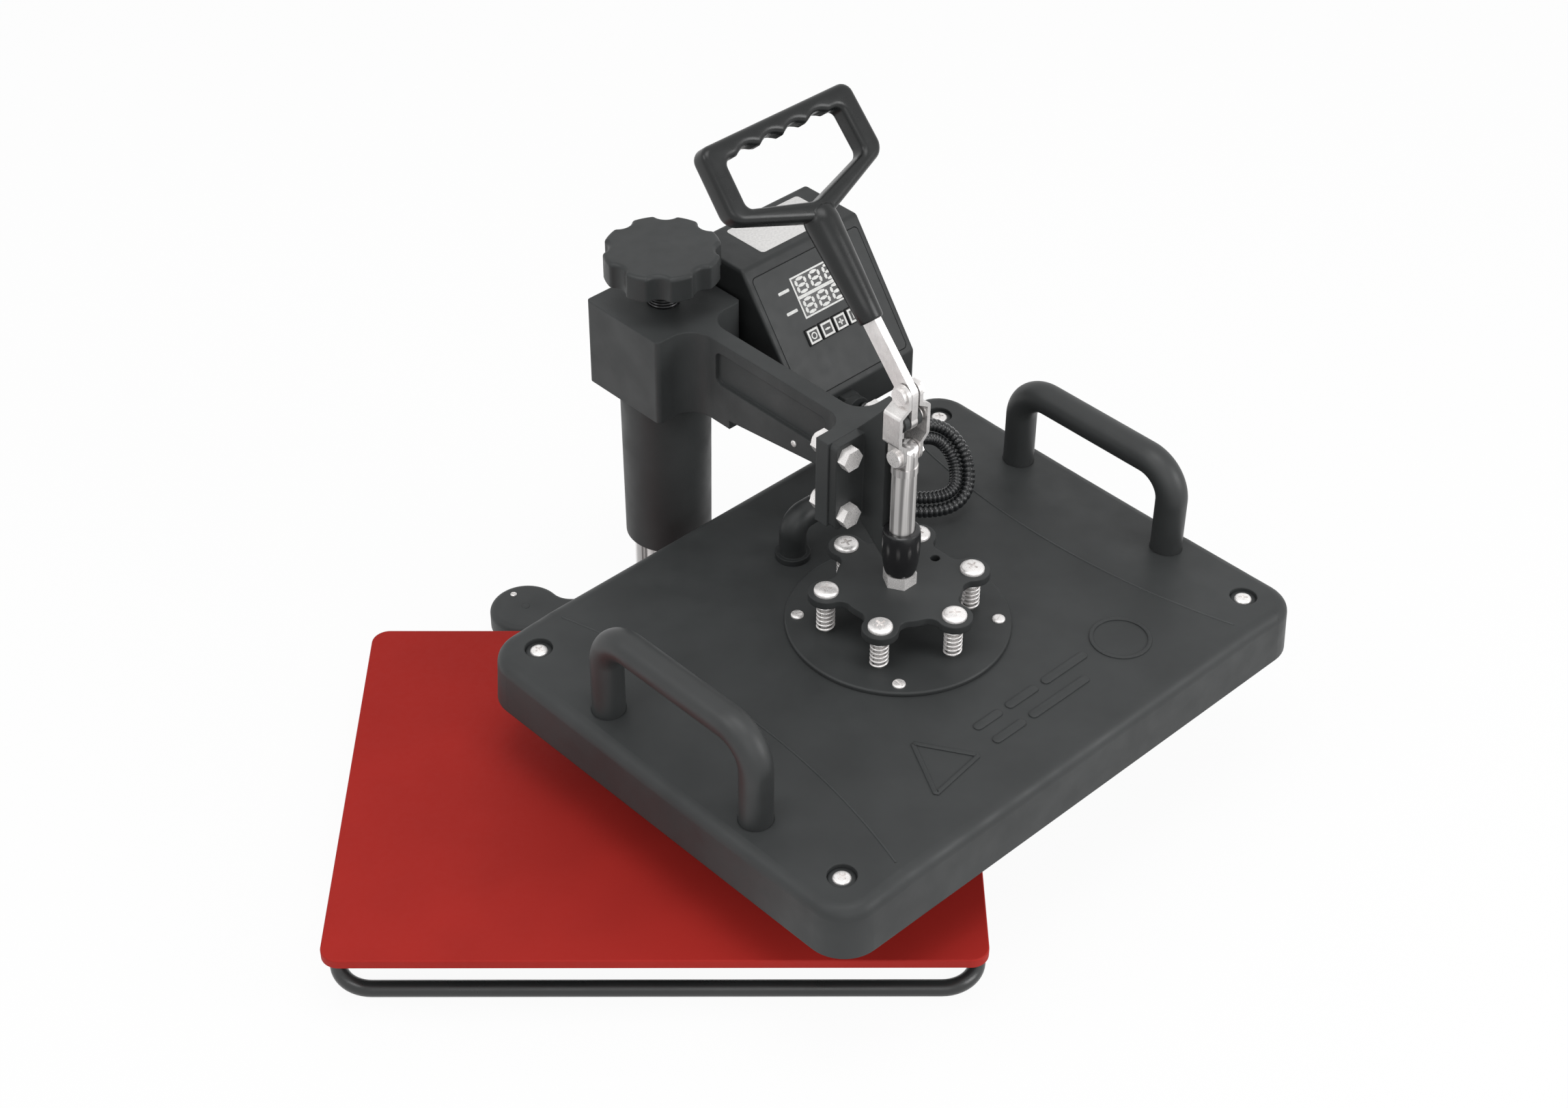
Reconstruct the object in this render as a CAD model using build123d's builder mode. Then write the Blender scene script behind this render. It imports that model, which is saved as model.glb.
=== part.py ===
from build123d import *
import os
from math import asin, cos, degrees, hypot, pi, radians, sin, sqrt, tan

# A manual swing-away heat press with a round column, a toggle lever and a flat heating platen.
# Millimetres and degrees, +Z up. The origin is on the column axis, on the table.
# The base is square to X and Y, with its front at -Y. Everything that swings on the column is
# drawn pointing straight at -Y and turned by swing_angle when it is finished.

os.makedirs("parts", exist_ok=True)

# Clearances
slide_fit = 0.1
seat_fit = 0.05
side_gap = 0.3

# Layout
swing_angle = 43.2
arm_reach = 208.5
foot_height = 6.0

# Lower platen
pad_length = 380.0
pad_depth = 286.0
pad_thickness = 6.0
pad_corner_radius = 11.0
pad_edge_radius = 1.0
plate_underside = 36.0
plate_thickness = 6.0
plate_inset = 8.0
plate_chamfer = 1.5

# Base casting
lobe_spacing = 194.0
lobe_offset = 8.0
lobe_radius = 24.0
lobe_height = 14.0
lobe_edge_radius = 4.0
waist_width = 20.0
waist_blend = 14.0
boss_radius = 31.0
boss_height = 28.0
spine_width = 54.0
pedestal_radius = 48.0
pocket_wall = 7.0
pocket_roof = 10.0
lobe_foot_radius = 17.0
column_foot_radius = 24.0
foot_taper = 4.0
foot_screw_hole = 2.5

# Front support rod
rod_diameter = 10.0
rod_width = 374.0
rod_lead = 125.0
rod_setback = 96.5
rod_corner_radius = 22.0

# Column
post_diameter = 45.0
post_wall = 6.0
post_base = 10.0
post_top = 216.0
post_cap = 12.0
thrust_diameter = 40.0
thrust_thickness = 6.0
turned_chamfer = 1.0

# Swing arm casting
block_width = 69.0
block_depth = 66.0
block_bottom = 200.0
block_top = 260.0
block_edge_radius = 3.0
bore_diameter = 50.0
bore_ceiling = 244.0
sleeve_bottom = 81.0
sleeve_top_diameter = 58.0
sleeve_bottom_diameter = 56.0
sleeve_edge_radius = 2.0
bush_length = 34.0
upper_bush_bottom = 176.0
beam_thickness = 12.0
beam_lug_end = 66.0
beam_lug_lift = 6.0
beam_rise_setback = 24.0
beam_rise = 15.0
block_blend = 16.0
flange_blend = 14.0
flange_width = 60.0
flange_setback = 42.5
flange_thickness = 10.0
beam_pocket_depth = 3.0
beam_pocket_bottom = 229.0
beam_pocket_top = 252.0
beam_pocket_near = 54.0
beam_pocket_setback = 16.0
beam_pocket_radius = 4.0

# Height screw and knob
screw_diameter = 20.0
screw_engagement = 10.0
knob_bottom = 282.0
knob_height = 17.0
knob_radius = 36.5
knob_lobes = 8
knob_scallop_radius = 9.0
knob_scallop_depth = 4.0
knob_edge_radius = 2.5
knob_blend = 3.0
collar_radius = 16.0
collar_height = 5.0

# Head bracket and guide
bracket_thickness = 6.0
bracket_width = 58.0
plate_radius = 3.0
bracket_web_setback = 9.5
bracket_bottom = 171.0
guide_top = 201.0
guide_top_radius = 11.0
guide_bottom_radius = 9.0
bolt_spacing_u = 42.0
bolt_low = 209.0
bolt_high = 250.5
bolt_diameter = 8.0
bolt_head_width = 13.0
bolt_head_height = 6.0
cap_nut_height = 6.5
cap_nut_dome = 5.5
spot_face_radius = 8.2

# Toggle linkage
pivot_height = 281.0
crank_radius = 18.5
link_length = 42.5
lug_radius = 6.0
lug_thickness = 4.0
lug_slant = 3.0
tongue_thickness = 5.0
bar_width = 12.0
bar_end_radius = 6.4
lever_lean = 41.6
grip_start = 45.2
pin_diameter = 6.0
pin_head_radius = 4.2
pin_head_height = 2.2
link_head_radius = 5.2
link_nut_width = 10.0
link_thickness = 2.5
link_width = 13.0
link_narrow_gap = 3.3
link_bow_gap = 10.0
link_foot_gap = 5.3
link_bend_start = 7.5
link_bow_start = 11.5
link_bow_end = 29.5
link_foot_start = 34.0

# Lever handle
grip_length = 64.0
grip_start_radius = 7.5
grip_end_radius = 10.5
grip_edge_radius = 1.0
handle_thickness = 14.0
handle_top_half = 56.5
handle_side_half = 58.0
handle_top = 127.0
handle_side = 82.5
loop_bottom = 62.0
opening_top_half = 38.5
opening_side_half = 39.5
opening_top = 114.5
opening_side = 88.0
opening_bottom = 76.0
handle_corner_radius = 7.0
opening_corner_radius = 5.0
handle_edge_radius = 4.0
finger_pitch = 18.0
finger_radius = 9.5
finger_depth = 2.5
bar_socket = 50.0

# Press plunger
plunger_diameter = 15.0
plunger_bottom = 146.0
plunger_thread = 12.0
neck_radius = 8.0
neck_drop = 13.0
neck_height = 5.0
plunger_flat = 10.0
plunger_eye_radius = 7.5
nut_width = 18.0
lock_nut_height = 8.0
under_nut_height = 6.0

# Star plate and spring suspension
star_bottom = 157.0
star_thickness = 5.0
star_radius = 38.0
suspension_radius = 45.16
suspension_count = 6
suspension_angle = 30.0
star_lobe_radius = 11.0
star_blend = 7.0
sight_hole_radius = 3.0
sight_hole_offset = 30.4
screw_shank = 6.0
screw_hole_gap = 0.5
screw_head_radius = 7.5
screw_head_height = 3.2
screw_head_round = 1.2
spring_wire = 1.6
spring_outer = 11.5
spring_turns = 5.0
disc_diameter = 137.0
disc_thickness = 3.0
disc_chamfer = 0.8

# Heating platen
platen_top = 130.0
platen_skirt_bottom = 93.3
platen_half_width = 199.0
platen_half_depth = 155.5
platen_corner_radius = 24.0
platen_edge_radius = 8.0
platen_wall = 4.0
platen_draft = 2.0
wing_slope = 3.2
crease_inner = 124.0
crease_corner = 150.0
ledge_width = 16.0
platen_roof = 10.0
cover_screw_u = 172.5
cover_screw_rear_inset = 25.0
cover_screw_front_inset = 28.5
counterbore_radius = 8.5
counterbore_depth = 5.0
heater_thickness = 14.0
heater_drop = 2.0
heater_gap = 0.5
heater_edge_radius = 1.0

# Grab handles on the platen
grab_u = 176.0
grab_half_span = 62.5
grab_axis_height = 186.0
grab_diameter = 20.0
grab_bend = 22.0
grab_seat_height = 126.0

# Cable elbow and conduit
elbow_u = -3.0
elbow_setback = 88.5
elbow_radius = 8.5
elbow_axis_height = 158.0
elbow_flange_radius = 11.0
elbow_flange_height = 4.0
elbow_bend = 10.0
elbow_end_u = 14.0
conduit_radius = 4.2
conduit_bore_radius = 2.6
conduit_rib_depth = 0.8
conduit_rib_pitch = 5.0
conduit_spread = 8.6
conduit_steady = Vector(0.31, 0.73, -0.61)
rib_shares = (0.0, 0.25, 0.6, 0.85)

# Route of the conduit along its centre line, as across, forward and up
conduit_route = [
    (28, 120, 158),
    (51, 127, 152),
    (76, 155, 146),
    (101, 164, 145),
    (120, 148, 155),
    (115, 133, 174),
    (88, 130, 185),
    (76, 113, 188),
]

# Control box
box_left = 38.0
box_right = 137.9
box_back = -18.0
box_top = 278.4
box_bottom = 176.0
box_top_front = 30.0
box_nose = 84.8
box_nose_height = 201.0
box_edge_radius = 4.0
panel_side_inset = 4.6
panel_top_inset = 7.3
panel_bottom_inset = 4.0
panel_ledge = 4.0
panel_thickness = 2.0
panel_corner_radius = 3.0
box_wall = 4.0
box_side_radius = 2.0
display_left = 31.3
display_width = 37.0
display_height = 12.5
display_high = 18.0
display_low = 31.6
display_depth = 1.0
button_left = 25.5
button_pitch = 11.6
button_size = 10.0
button_row = 51.0
button_length = 6.0
button_proud = 1.6
button_edge_radius = 0.6
box_bracket_v = 6.0
box_bracket_z = 230.0
box_bracket_depth = 40.0
box_bracket_height = 50.0
inlet_width = 28.0
inlet_height = 22.0
inlet_u = 70.0
rear_row_z = 200.0
inlet_depth = 12.0
inlet_wall = 2.0
inlet_lip = 4.0
inlet_lip_thickness = 2.0
pin_spacing = 7.0
pin_blade_width = 2.0
pin_blade_height = 4.0
pin_blade_length = 7.0
pin_row_drop = 3.0
switch_u = 112.0
switch_width = 14.0
switch_height = 21.0
rocker_half_depth = 4.0
rocker_tilt = -7.0
rocker_pin_radius = 1.5
gland_u = 76.0
gland_length = 11.0
gland_z = 188.0
gland_radius = 11.0
gland_thread_radius = 8.0
gland_cap_radius = 10.0

# Worked out from the values above
pad_underside = plate_underside + plate_thickness
rod_front = arm_reach + rod_lead
rod_rear = arm_reach - rod_setback
flange_back = arm_reach - flange_setback
beam_rise_end = flange_back - beam_rise_setback
beam_pocket_far = flange_back - beam_pocket_setback
bracket_web_front = arm_reach - bracket_web_setback
platen_back = arm_reach - platen_half_depth
platen_front = arm_reach + platen_half_depth
cover_screw_back = platen_back + cover_screw_rear_inset
cover_screw_front = platen_front - cover_screw_front_inset
grab_back = arm_reach - grab_half_span
grab_front = arm_reach + grab_half_span
elbow_v = arm_reach - elbow_setback
flange_front = flange_back + flange_thickness
bracket_front = flange_front + bracket_thickness
bolt_centre_height = (bolt_low + bolt_high) / 2
bolt_spacing_z = bolt_high - bolt_low
thrust_top = post_top + thrust_thickness
crank_height = pivot_height + crank_radius
link_foot_height = crank_height - link_length
neck_bottom = link_foot_height - neck_drop
tongue_slot = tongue_thickness + 2 * side_gap
lug_half = tongue_slot / 2 + lug_thickness
star_top = star_bottom + star_thickness
disc_top = platen_top + disc_thickness
heater_bottom = platen_skirt_bottom - heater_drop
lever_direction = Vector(0, sin(radians(lever_lean)), cos(radians(lever_lean)))
crank_point = Vector(0, -arm_reach, crank_height)
grip_point = crank_point + lever_direction * grip_start
panel_length = hypot(box_nose - box_top_front, box_top - box_nose_height)
panel_slope = degrees(asin((box_nose - box_top_front) / panel_length))

# Planes
press_plane = Plane(origin=(0, -arm_reach, 0), z_dir=(0, 0, 1))
handle_normal = lever_direction.cross(Vector(-1, 0, 0))
handle_plane = Plane(origin=grip_point, x_dir=(1, 0, 0), z_dir=handle_normal)
grip_plane = Plane(origin=grip_point, x_dir=(1, 0, 0), z_dir=lever_direction)
panel_plane = Plane(
    origin=(box_left, -box_top_front, box_top),
    x_dir=(1, 0, 0),
    z_dir=(0, -cos(radians(panel_slope)), sin(radians(panel_slope))),
)


def save_base(builder, name):
    """Label a piece that stands still and write it."""
    builder.part.label = name
    export_step(builder.part, f"parts/{name}.step")


def save_head(builder, name):
    """Turn a piece of the head about the column, label it and write it."""
    builder.part = Part(builder.part.rotate(Axis.Z, swing_angle, transform=True).wrapped)
    builder.part.label = name
    export_step(builder.part, f"parts/{name}.step")


# Silicone pad
with BuildPart() as silicone_pad:
    with BuildSketch(Plane.XY.offset(pad_underside)):
        with Locations((0, -arm_reach)):
            RectangleRounded(pad_length, pad_depth, pad_corner_radius)
    extrude(amount=pad_thickness)
    fillet(silicone_pad.edges().group_by(Axis.Z)[-1], pad_edge_radius)
save_base(silicone_pad, "silicone_pad")

# Lower plate
with BuildPart() as lower_plate:
    with BuildSketch(Plane.XY.offset(plate_underside)):
        with Locations((0, -arm_reach)):
            RectangleRounded(pad_length - 2 * plate_inset, pad_depth - 2 * plate_inset, pad_corner_radius)
    extrude(amount=plate_thickness)
    chamfer(lower_plate.edges().group_by(Axis.Z)[0], plate_chamfer)
save_base(lower_plate, "lower_plate")

# Base casting with its two rear lobes, column boss, spine and pedestal
with BuildPart() as base_casting:
    with BuildSketch(Plane.XY.offset(foot_height)) as rear_bar:
        with Locations((-lobe_spacing / 2, -lobe_offset), (lobe_spacing / 2, -lobe_offset)):
            Circle(lobe_radius)
        with Locations((0, -lobe_offset)):
            Rectangle(lobe_spacing, waist_width)
        Circle(boss_radius)
        fillet(rear_bar.vertices(), waist_blend)
    extrude(amount=lobe_height)
    fillet(base_casting.edges().group_by(Axis.Z)[-1], lobe_edge_radius)
    with BuildSketch(Plane.XY.offset(foot_height)):
        with Locations((0, -arm_reach / 2)):
            Rectangle(spine_width, arm_reach)
        with Locations((0, -arm_reach)):
            Circle(pedestal_radius)
        Circle(boss_radius, mode=Mode.SUBTRACT)
    extrude(amount=plate_underside - foot_height)
    with BuildSketch(Plane.XY.offset(foot_height)):
        Circle(boss_radius)
    extrude(amount=boss_height)
    # Socket for the column
    with BuildSketch(Plane.XY.offset(post_base)):
        Circle(post_diameter / 2 + seat_fit)
    extrude(amount=plate_underside, mode=Mode.SUBTRACT)
    # Hollow underside of the spine, in two bays beside the rod
    with BuildSketch(Plane.XY.offset(foot_height)):
        with Locations((0, -(boss_radius + rod_rear) / 2)):
            Rectangle(spine_width - 2 * pocket_wall, rod_rear - boss_radius - 2 * pocket_wall - rod_diameter)
        with Locations((0, -(arm_reach + rod_rear) / 2)):
            Rectangle(spine_width - 2 * pocket_wall, arm_reach - rod_rear - 2 * pocket_wall)
    extrude(amount=plate_underside - foot_height - pocket_roof, mode=Mode.SUBTRACT)
    # Groove over the rear bar of the support rod
    with BuildSketch(Plane.YZ):
        with Locations((-rod_rear, rod_diameter / 2)):
            Circle(rod_diameter / 2 + side_gap)
    extrude(amount=pedestal_radius, both=True, mode=Mode.SUBTRACT)
    # Screw holes of the rear feet
    with Locations((-lobe_spacing / 2, -lobe_offset), (lobe_spacing / 2, -lobe_offset)):
        Cylinder(foot_screw_hole, 3 * lobe_height, mode=Mode.SUBTRACT)
save_base(base_casting, "base_casting")

# Front support rod, one closed loop lying on the table
with BuildPart() as front_rod:
    with BuildLine() as half_loop:
        FilletPolyline(
            (0, -rod_front, rod_diameter / 2),
            (rod_width / 2, -rod_front, rod_diameter / 2),
            (rod_width / 2, -rod_rear, rod_diameter / 2),
            (0, -rod_rear, rod_diameter / 2),
            radius=rod_corner_radius,
        )
    with BuildSketch(Plane(origin=half_loop.line @ 0, z_dir=half_loop.line % 0)):
        Circle(rod_diameter / 2)
    sweep()
    mirror(about=Plane.YZ)
save_base(front_rod, "front_rod")

# Rubber feet
for foot_name, foot_x, foot_y, foot_radius in (
    ("foot_left", -lobe_spacing / 2, -lobe_offset, lobe_foot_radius),
    ("foot_right", lobe_spacing / 2, -lobe_offset, lobe_foot_radius),
    ("foot_column", 0, 0, column_foot_radius),
):
    with BuildPart() as rubber_foot:
        with BuildSketch():
            with Locations((foot_x, foot_y)):
                Circle(foot_radius)
        extrude(amount=foot_height, taper=foot_taper)
    save_base(rubber_foot, foot_name)

# Column post
with BuildPart() as column_post:
    with BuildSketch(Plane.XY.offset(post_base)):
        Circle(post_diameter / 2)
    extrude(amount=post_top - post_base)
    with BuildSketch(Plane.XY.offset(post_base)):
        Circle(post_diameter / 2 - post_wall)
    extrude(amount=post_top - post_base - post_cap, mode=Mode.SUBTRACT)
    chamfer(column_post.edges().group_by(Axis.Z)[-1], turned_chamfer)
save_base(column_post, "column_post")

# Thrust pad on top of the column
with BuildPart() as thrust_pad:
    with BuildSketch(Plane.XY.offset(post_top)):
        Circle(thrust_diameter / 2)
    extrude(amount=thrust_thickness)
    chamfer(thrust_pad.edges().group_by(Axis.Z)[-1], turned_chamfer)
save_head(thrust_pad, "thrust_pad")

# Height screw
with BuildPart() as height_screw:
    with BuildSketch(Plane.XY.offset(thrust_top)):
        Circle(screw_diameter / 2)
    extrude(amount=knob_bottom + screw_engagement - thrust_top)
    chamfer(height_screw.edges().group_by(Axis.Z)[0], 2 * turned_chamfer)
save_head(height_screw, "height_screw")

# Height knob with its scalloped rim
with BuildPart() as height_knob:
    with BuildSketch(Plane.XY.offset(knob_bottom)) as knob_outline:
        Circle(knob_radius)
        with PolarLocations(knob_radius - knob_scallop_depth + knob_scallop_radius, knob_lobes):
            Circle(knob_scallop_radius, mode=Mode.SUBTRACT)
        fillet(knob_outline.vertices(), knob_blend)
    extrude(amount=knob_height)
    fillet(height_knob.edges().group_by(Axis.Z)[-1], knob_edge_radius)
    with BuildSketch(Plane.XY.offset(knob_bottom - collar_height)):
        Circle(collar_radius)
    extrude(amount=collar_height)
    with BuildSketch(Plane.XY.offset(knob_bottom - collar_height)):
        Circle(screw_diameter / 2 + seat_fit)
    extrude(amount=collar_height + screw_engagement, mode=Mode.SUBTRACT)
save_head(height_knob, "height_knob")

# Swing arm casting: block, sleeve, beam and bolting flange
with BuildPart() as swing_arm:
    with BuildSketch(Plane.XY.offset(block_bottom)) as arm_plan:
        Rectangle(block_width, block_depth)
        fillet(arm_plan.vertices(), block_edge_radius)
        with Locations((0, -flange_front / 2)):
            Rectangle(beam_thickness, flange_front)
        with Locations((0, -(flange_back + flange_front) / 2)):
            Rectangle(flange_width, flange_thickness)
        block_corners = arm_plan.vertices().group_by(lambda v: round(v.Y + block_depth / 2, 2) == 0)[-1]
        fillet(block_corners.sort_by(lambda v: abs(v.X))[:2], block_blend)
        flange_corners = arm_plan.vertices().group_by(lambda v: round(v.Y + flange_back, 2) == 0)[-1]
        fillet(flange_corners.sort_by(lambda v: abs(v.X))[:2], flange_blend)
    extrude(amount=block_top - block_bottom)
    # Underside of the beam rises behind a small lug
    with BuildSketch(Plane.YZ) as beam_underside:
        with BuildLine():
            Polyline(
                (-beam_lug_end, block_bottom - 1),
                (-beam_lug_end, block_bottom + beam_lug_lift),
                (-beam_rise_end, block_bottom + beam_rise),
                (-flange_back, block_bottom + beam_rise / 2),
                (-flange_back, block_bottom - 1),
                close=True,
            )
        make_face()
    extrude(amount=flange_width, both=True, mode=Mode.SUBTRACT)
    # Recessed panels on both sides of the beam
    for side in (-1, 1):
        with BuildSketch(Plane.YZ.offset(side * beam_thickness / 2)):
            with Locations(
                (-(beam_pocket_near + beam_pocket_far) / 2, (beam_pocket_bottom + beam_pocket_top) / 2)
            ):
                RectangleRounded(
                    beam_pocket_far - beam_pocket_near,
                    beam_pocket_top - beam_pocket_bottom,
                    beam_pocket_radius,
                )
        extrude(amount=-side * beam_pocket_depth, mode=Mode.SUBTRACT)
    # Tapered sleeve around the column
    with BuildSketch(Plane.XZ):
        with BuildLine():
            Polyline(
                (0, block_bottom),
                (sleeve_top_diameter / 2, block_bottom),
                (sleeve_bottom_diameter / 2, sleeve_bottom + sleeve_edge_radius),
                (sleeve_bottom_diameter / 2 - sleeve_edge_radius, sleeve_bottom),
                (0, sleeve_bottom),
                close=True,
            )
        make_face()
    revolve(axis=Axis.Z)
    # Bore for the column and threaded hole for the height screw
    with BuildSketch(Plane.XY.offset(sleeve_bottom)):
        Circle(bore_diameter / 2)
    extrude(amount=bore_ceiling - sleeve_bottom, mode=Mode.SUBTRACT)
    with BuildSketch(Plane.XY.offset(bore_ceiling)):
        Circle(screw_diameter / 2 + slide_fit)
    extrude(amount=block_top - bore_ceiling, mode=Mode.SUBTRACT)
    # Bolt holes of the flange, spot-faced behind it through the corner fillets
    with BuildSketch(Plane.XZ.offset(flange_back)):
        with Locations((0, bolt_centre_height)):
            with GridLocations(bolt_spacing_u, bolt_spacing_z, 2, 2):
                Circle(bolt_diameter / 2 + seat_fit)
    extrude(amount=flange_thickness, mode=Mode.SUBTRACT)
    with BuildSketch(Plane.XZ.offset(flange_back)):
        with Locations((0, bolt_centre_height)):
            with GridLocations(bolt_spacing_u, bolt_spacing_z, 2, 2):
                Circle(spot_face_radius)
    extrude(amount=-flange_blend, mode=Mode.SUBTRACT)
save_head(swing_arm, "swing_arm")

# Bushes in the sleeve
with BuildPart() as column_bushes:
    for bush_bottom in (sleeve_bottom + sleeve_edge_radius, upper_bush_bottom):
        with BuildSketch(Plane.XY.offset(bush_bottom)):
            Circle(bore_diameter / 2 - seat_fit)
            Circle(post_diameter / 2 + slide_fit, mode=Mode.SUBTRACT)
        extrude(amount=bush_length)
save_head(column_bushes, "column_bushes")

# Head bracket: bolting plate, web, plunger guide and lever lugs
with BuildPart() as head_bracket:
    with BuildSketch(Plane.XZ.offset(flange_front)):
        with Locations((0, (block_bottom + block_top) / 2)):
            RectangleRounded(bracket_width, block_top - block_bottom, plate_radius)
    extrude(amount=bracket_thickness)
    with BuildSketch(Plane.YZ):
        with BuildLine():
            Polyline(
                (-flange_front, block_bottom),
                (-arm_reach, bracket_bottom),
                (-arm_reach, guide_top),
                (-bracket_web_front, guide_top),
                (-bracket_web_front, pivot_height - lug_radius - lug_slant),
                (-arm_reach, pivot_height - lug_radius),
                (-arm_reach, pivot_height + lug_radius),
                (-bracket_web_front, pivot_height + lug_radius),
                (-flange_front, block_top),
                close=True,
            )
        make_face()
        with Locations((-arm_reach, pivot_height)):
            Circle(lug_radius)
    extrude(amount=lug_half, both=True)
    with BuildSketch(press_plane.offset(bracket_bottom)):
        Circle(guide_bottom_radius)
    with BuildSketch(press_plane.offset(guide_top - guide_top_radius)):
        Circle(guide_top_radius)
    loft()
    with BuildSketch(press_plane.offset(guide_top - guide_top_radius)):
        Circle(guide_top_radius)
    extrude(amount=guide_top_radius)
    with BuildSketch(press_plane.offset(bracket_bottom)):
        Circle(plunger_diameter / 2 + slide_fit)
    extrude(amount=guide_top - bracket_bottom, mode=Mode.SUBTRACT)
    # Slot that the lever tongue swings in
    with BuildSketch(Plane.YZ):
        with Locations((-arm_reach, pivot_height)):
            Circle(bar_end_radius + 2 * side_gap)
        with Locations((-arm_reach - bar_width, pivot_height + crank_radius / 2)):
            Rectangle(2 * (bar_width + bar_end_radius + 2 * side_gap), 2 * crank_radius + 2 * bar_end_radius)
    extrude(amount=tongue_slot / 2, both=True, mode=Mode.SUBTRACT)
    # Pivot hole and bolt holes
    with BuildSketch(Plane.YZ):
        with Locations((-arm_reach, pivot_height)):
            Circle(pin_diameter / 2 + seat_fit)
    extrude(amount=flange_width, both=True, mode=Mode.SUBTRACT)
    with BuildSketch(Plane.XZ.offset(flange_front)):
        with Locations((0, bolt_centre_height)):
            with GridLocations(bolt_spacing_u, bolt_spacing_z, 2, 2):
                Circle(bolt_diameter / 2 + seat_fit)
    extrude(amount=bracket_thickness, mode=Mode.SUBTRACT)
save_head(head_bracket, "head_bracket")

# Flange bolts, each with its cap nut behind the flange
bolt_places = [(u, z) for z in (bolt_low, bolt_high) for u in (-bolt_spacing_u / 2, bolt_spacing_u / 2)]
for bolt_index, (bolt_u, bolt_z) in enumerate(bolt_places, start=1):
    with BuildPart() as flange_bolt:
        with BuildSketch(Plane.XZ.offset(bracket_front)):
            with Locations((bolt_u, bolt_z)):
                RegularPolygon(bolt_head_width / 2, 6, major_radius=False)
        extrude(amount=bolt_head_height)
        with BuildSketch(Plane.XZ.offset(flange_back - cap_nut_height)):
            with Locations((bolt_u, bolt_z)):
                Circle(bolt_diameter / 2)
        extrude(amount=bracket_front - flange_back + cap_nut_height)
        with BuildSketch(Plane.XZ.offset(flange_back - cap_nut_height)):
            with Locations((bolt_u, bolt_z)):
                RegularPolygon(bolt_head_width / 2, 6, major_radius=False)
        extrude(amount=cap_nut_height)
        with BuildSketch(Plane.XZ.offset(flange_back - cap_nut_height)):
            with Locations((bolt_u, bolt_z)):
                Circle(cap_nut_dome)
        extrude(amount=-cap_nut_dome / 2)
        fillet(flange_bolt.edges().sort_by(Axis.Y)[-1], cap_nut_dome / 2 - 0.1)
    save_head(flange_bolt, f"flange_bolt_{bolt_index}")

# Pin of the lever pivot
with BuildPart() as lever_pin:
    with BuildSketch(Plane.YZ):
        with Locations((-arm_reach, pivot_height)):
            Circle(pin_diameter / 2)
    extrude(amount=lug_half + pin_head_height, both=True)
    for side in (-1, 1):
        with BuildSketch(Plane.YZ.offset(side * lug_half)):
            with Locations((-arm_reach, pivot_height)):
                Circle(pin_head_radius)
        extrude(amount=side * pin_head_height)
save_head(lever_pin, "lever_pin")

# Lever bar with its bent tongue
with BuildPart() as lever_bar:
    bar_reach = grip_start + bar_socket
    bar_middle = crank_point + lever_direction * (bar_reach / 2)
    with BuildSketch(Plane.YZ):
        with Locations((-arm_reach, pivot_height)):
            Circle(bar_end_radius)
        with Locations((-arm_reach, (pivot_height + crank_height) / 2)):
            Rectangle(bar_width, crank_radius)
        with Locations((-arm_reach, crank_height)):
            Circle(bar_width / 2)
        with Locations((bar_middle.Y, bar_middle.Z)):
            Rectangle(bar_width, bar_reach, rotation=-lever_lean)
    extrude(amount=tongue_thickness / 2, both=True)
    with BuildSketch(Plane.YZ):
        with Locations((-arm_reach, pivot_height), (-arm_reach, crank_height)):
            Circle(pin_diameter / 2 + slide_fit)
    extrude(amount=tongue_thickness, both=True, mode=Mode.SUBTRACT)
save_head(lever_bar, "lever_bar")

# Lever handle: tapered grip and a five-sided loop with finger hollows
with BuildPart() as lever_handle:
    with BuildSketch(handle_plane.offset(-handle_thickness / 2)) as loop_outline:
        with BuildLine():
            Polyline(
                (-handle_top_half, handle_top),
                (handle_top_half, handle_top),
                (handle_side_half, handle_side),
                (0, loop_bottom),
                (-handle_side_half, handle_side),
                close=True,
            )
        make_face()
        fillet(loop_outline.vertices(), handle_corner_radius)
        with BuildSketch(mode=Mode.PRIVATE) as loop_opening:
            with BuildLine():
                Polyline(
                    (-opening_top_half, opening_top),
                    (opening_top_half, opening_top),
                    (opening_side_half, opening_side),
                    (0, opening_bottom),
                    (-opening_side_half, opening_side),
                    close=True,
                )
            make_face()
            fillet(loop_opening.vertices(), opening_corner_radius)
            with Locations((0, opening_top - finger_radius + finger_depth)):
                with GridLocations(finger_pitch, 0, 4, 1):
                    Circle(finger_radius)
        add(loop_opening.sketch, mode=Mode.SUBTRACT)
    extrude(amount=handle_thickness)
    loop_faces = lever_handle.faces().sort_by(Axis(handle_plane.origin, handle_plane.z_dir))
    fillet(loop_faces[0].outer_wire().edges() + loop_faces[-1].outer_wire().edges(), handle_edge_radius)
    with BuildSketch(grip_plane):
        Circle(grip_start_radius)
    with BuildSketch(grip_plane.offset(grip_length + handle_edge_radius)):
        Circle(grip_end_radius)
    loft()
    grip_rims = lever_handle.edges().filter_by(GeomType.CIRCLE)
    fillet(grip_rims.sort_by(Axis(grip_plane.origin, grip_plane.z_dir))[0], grip_edge_radius)
    with BuildSketch(grip_plane):
        Rectangle(tongue_thickness + 2 * seat_fit, bar_width + 2 * seat_fit)
    extrude(amount=bar_socket + seat_fit, mode=Mode.SUBTRACT)
save_head(lever_handle, "lever_handle")

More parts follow.
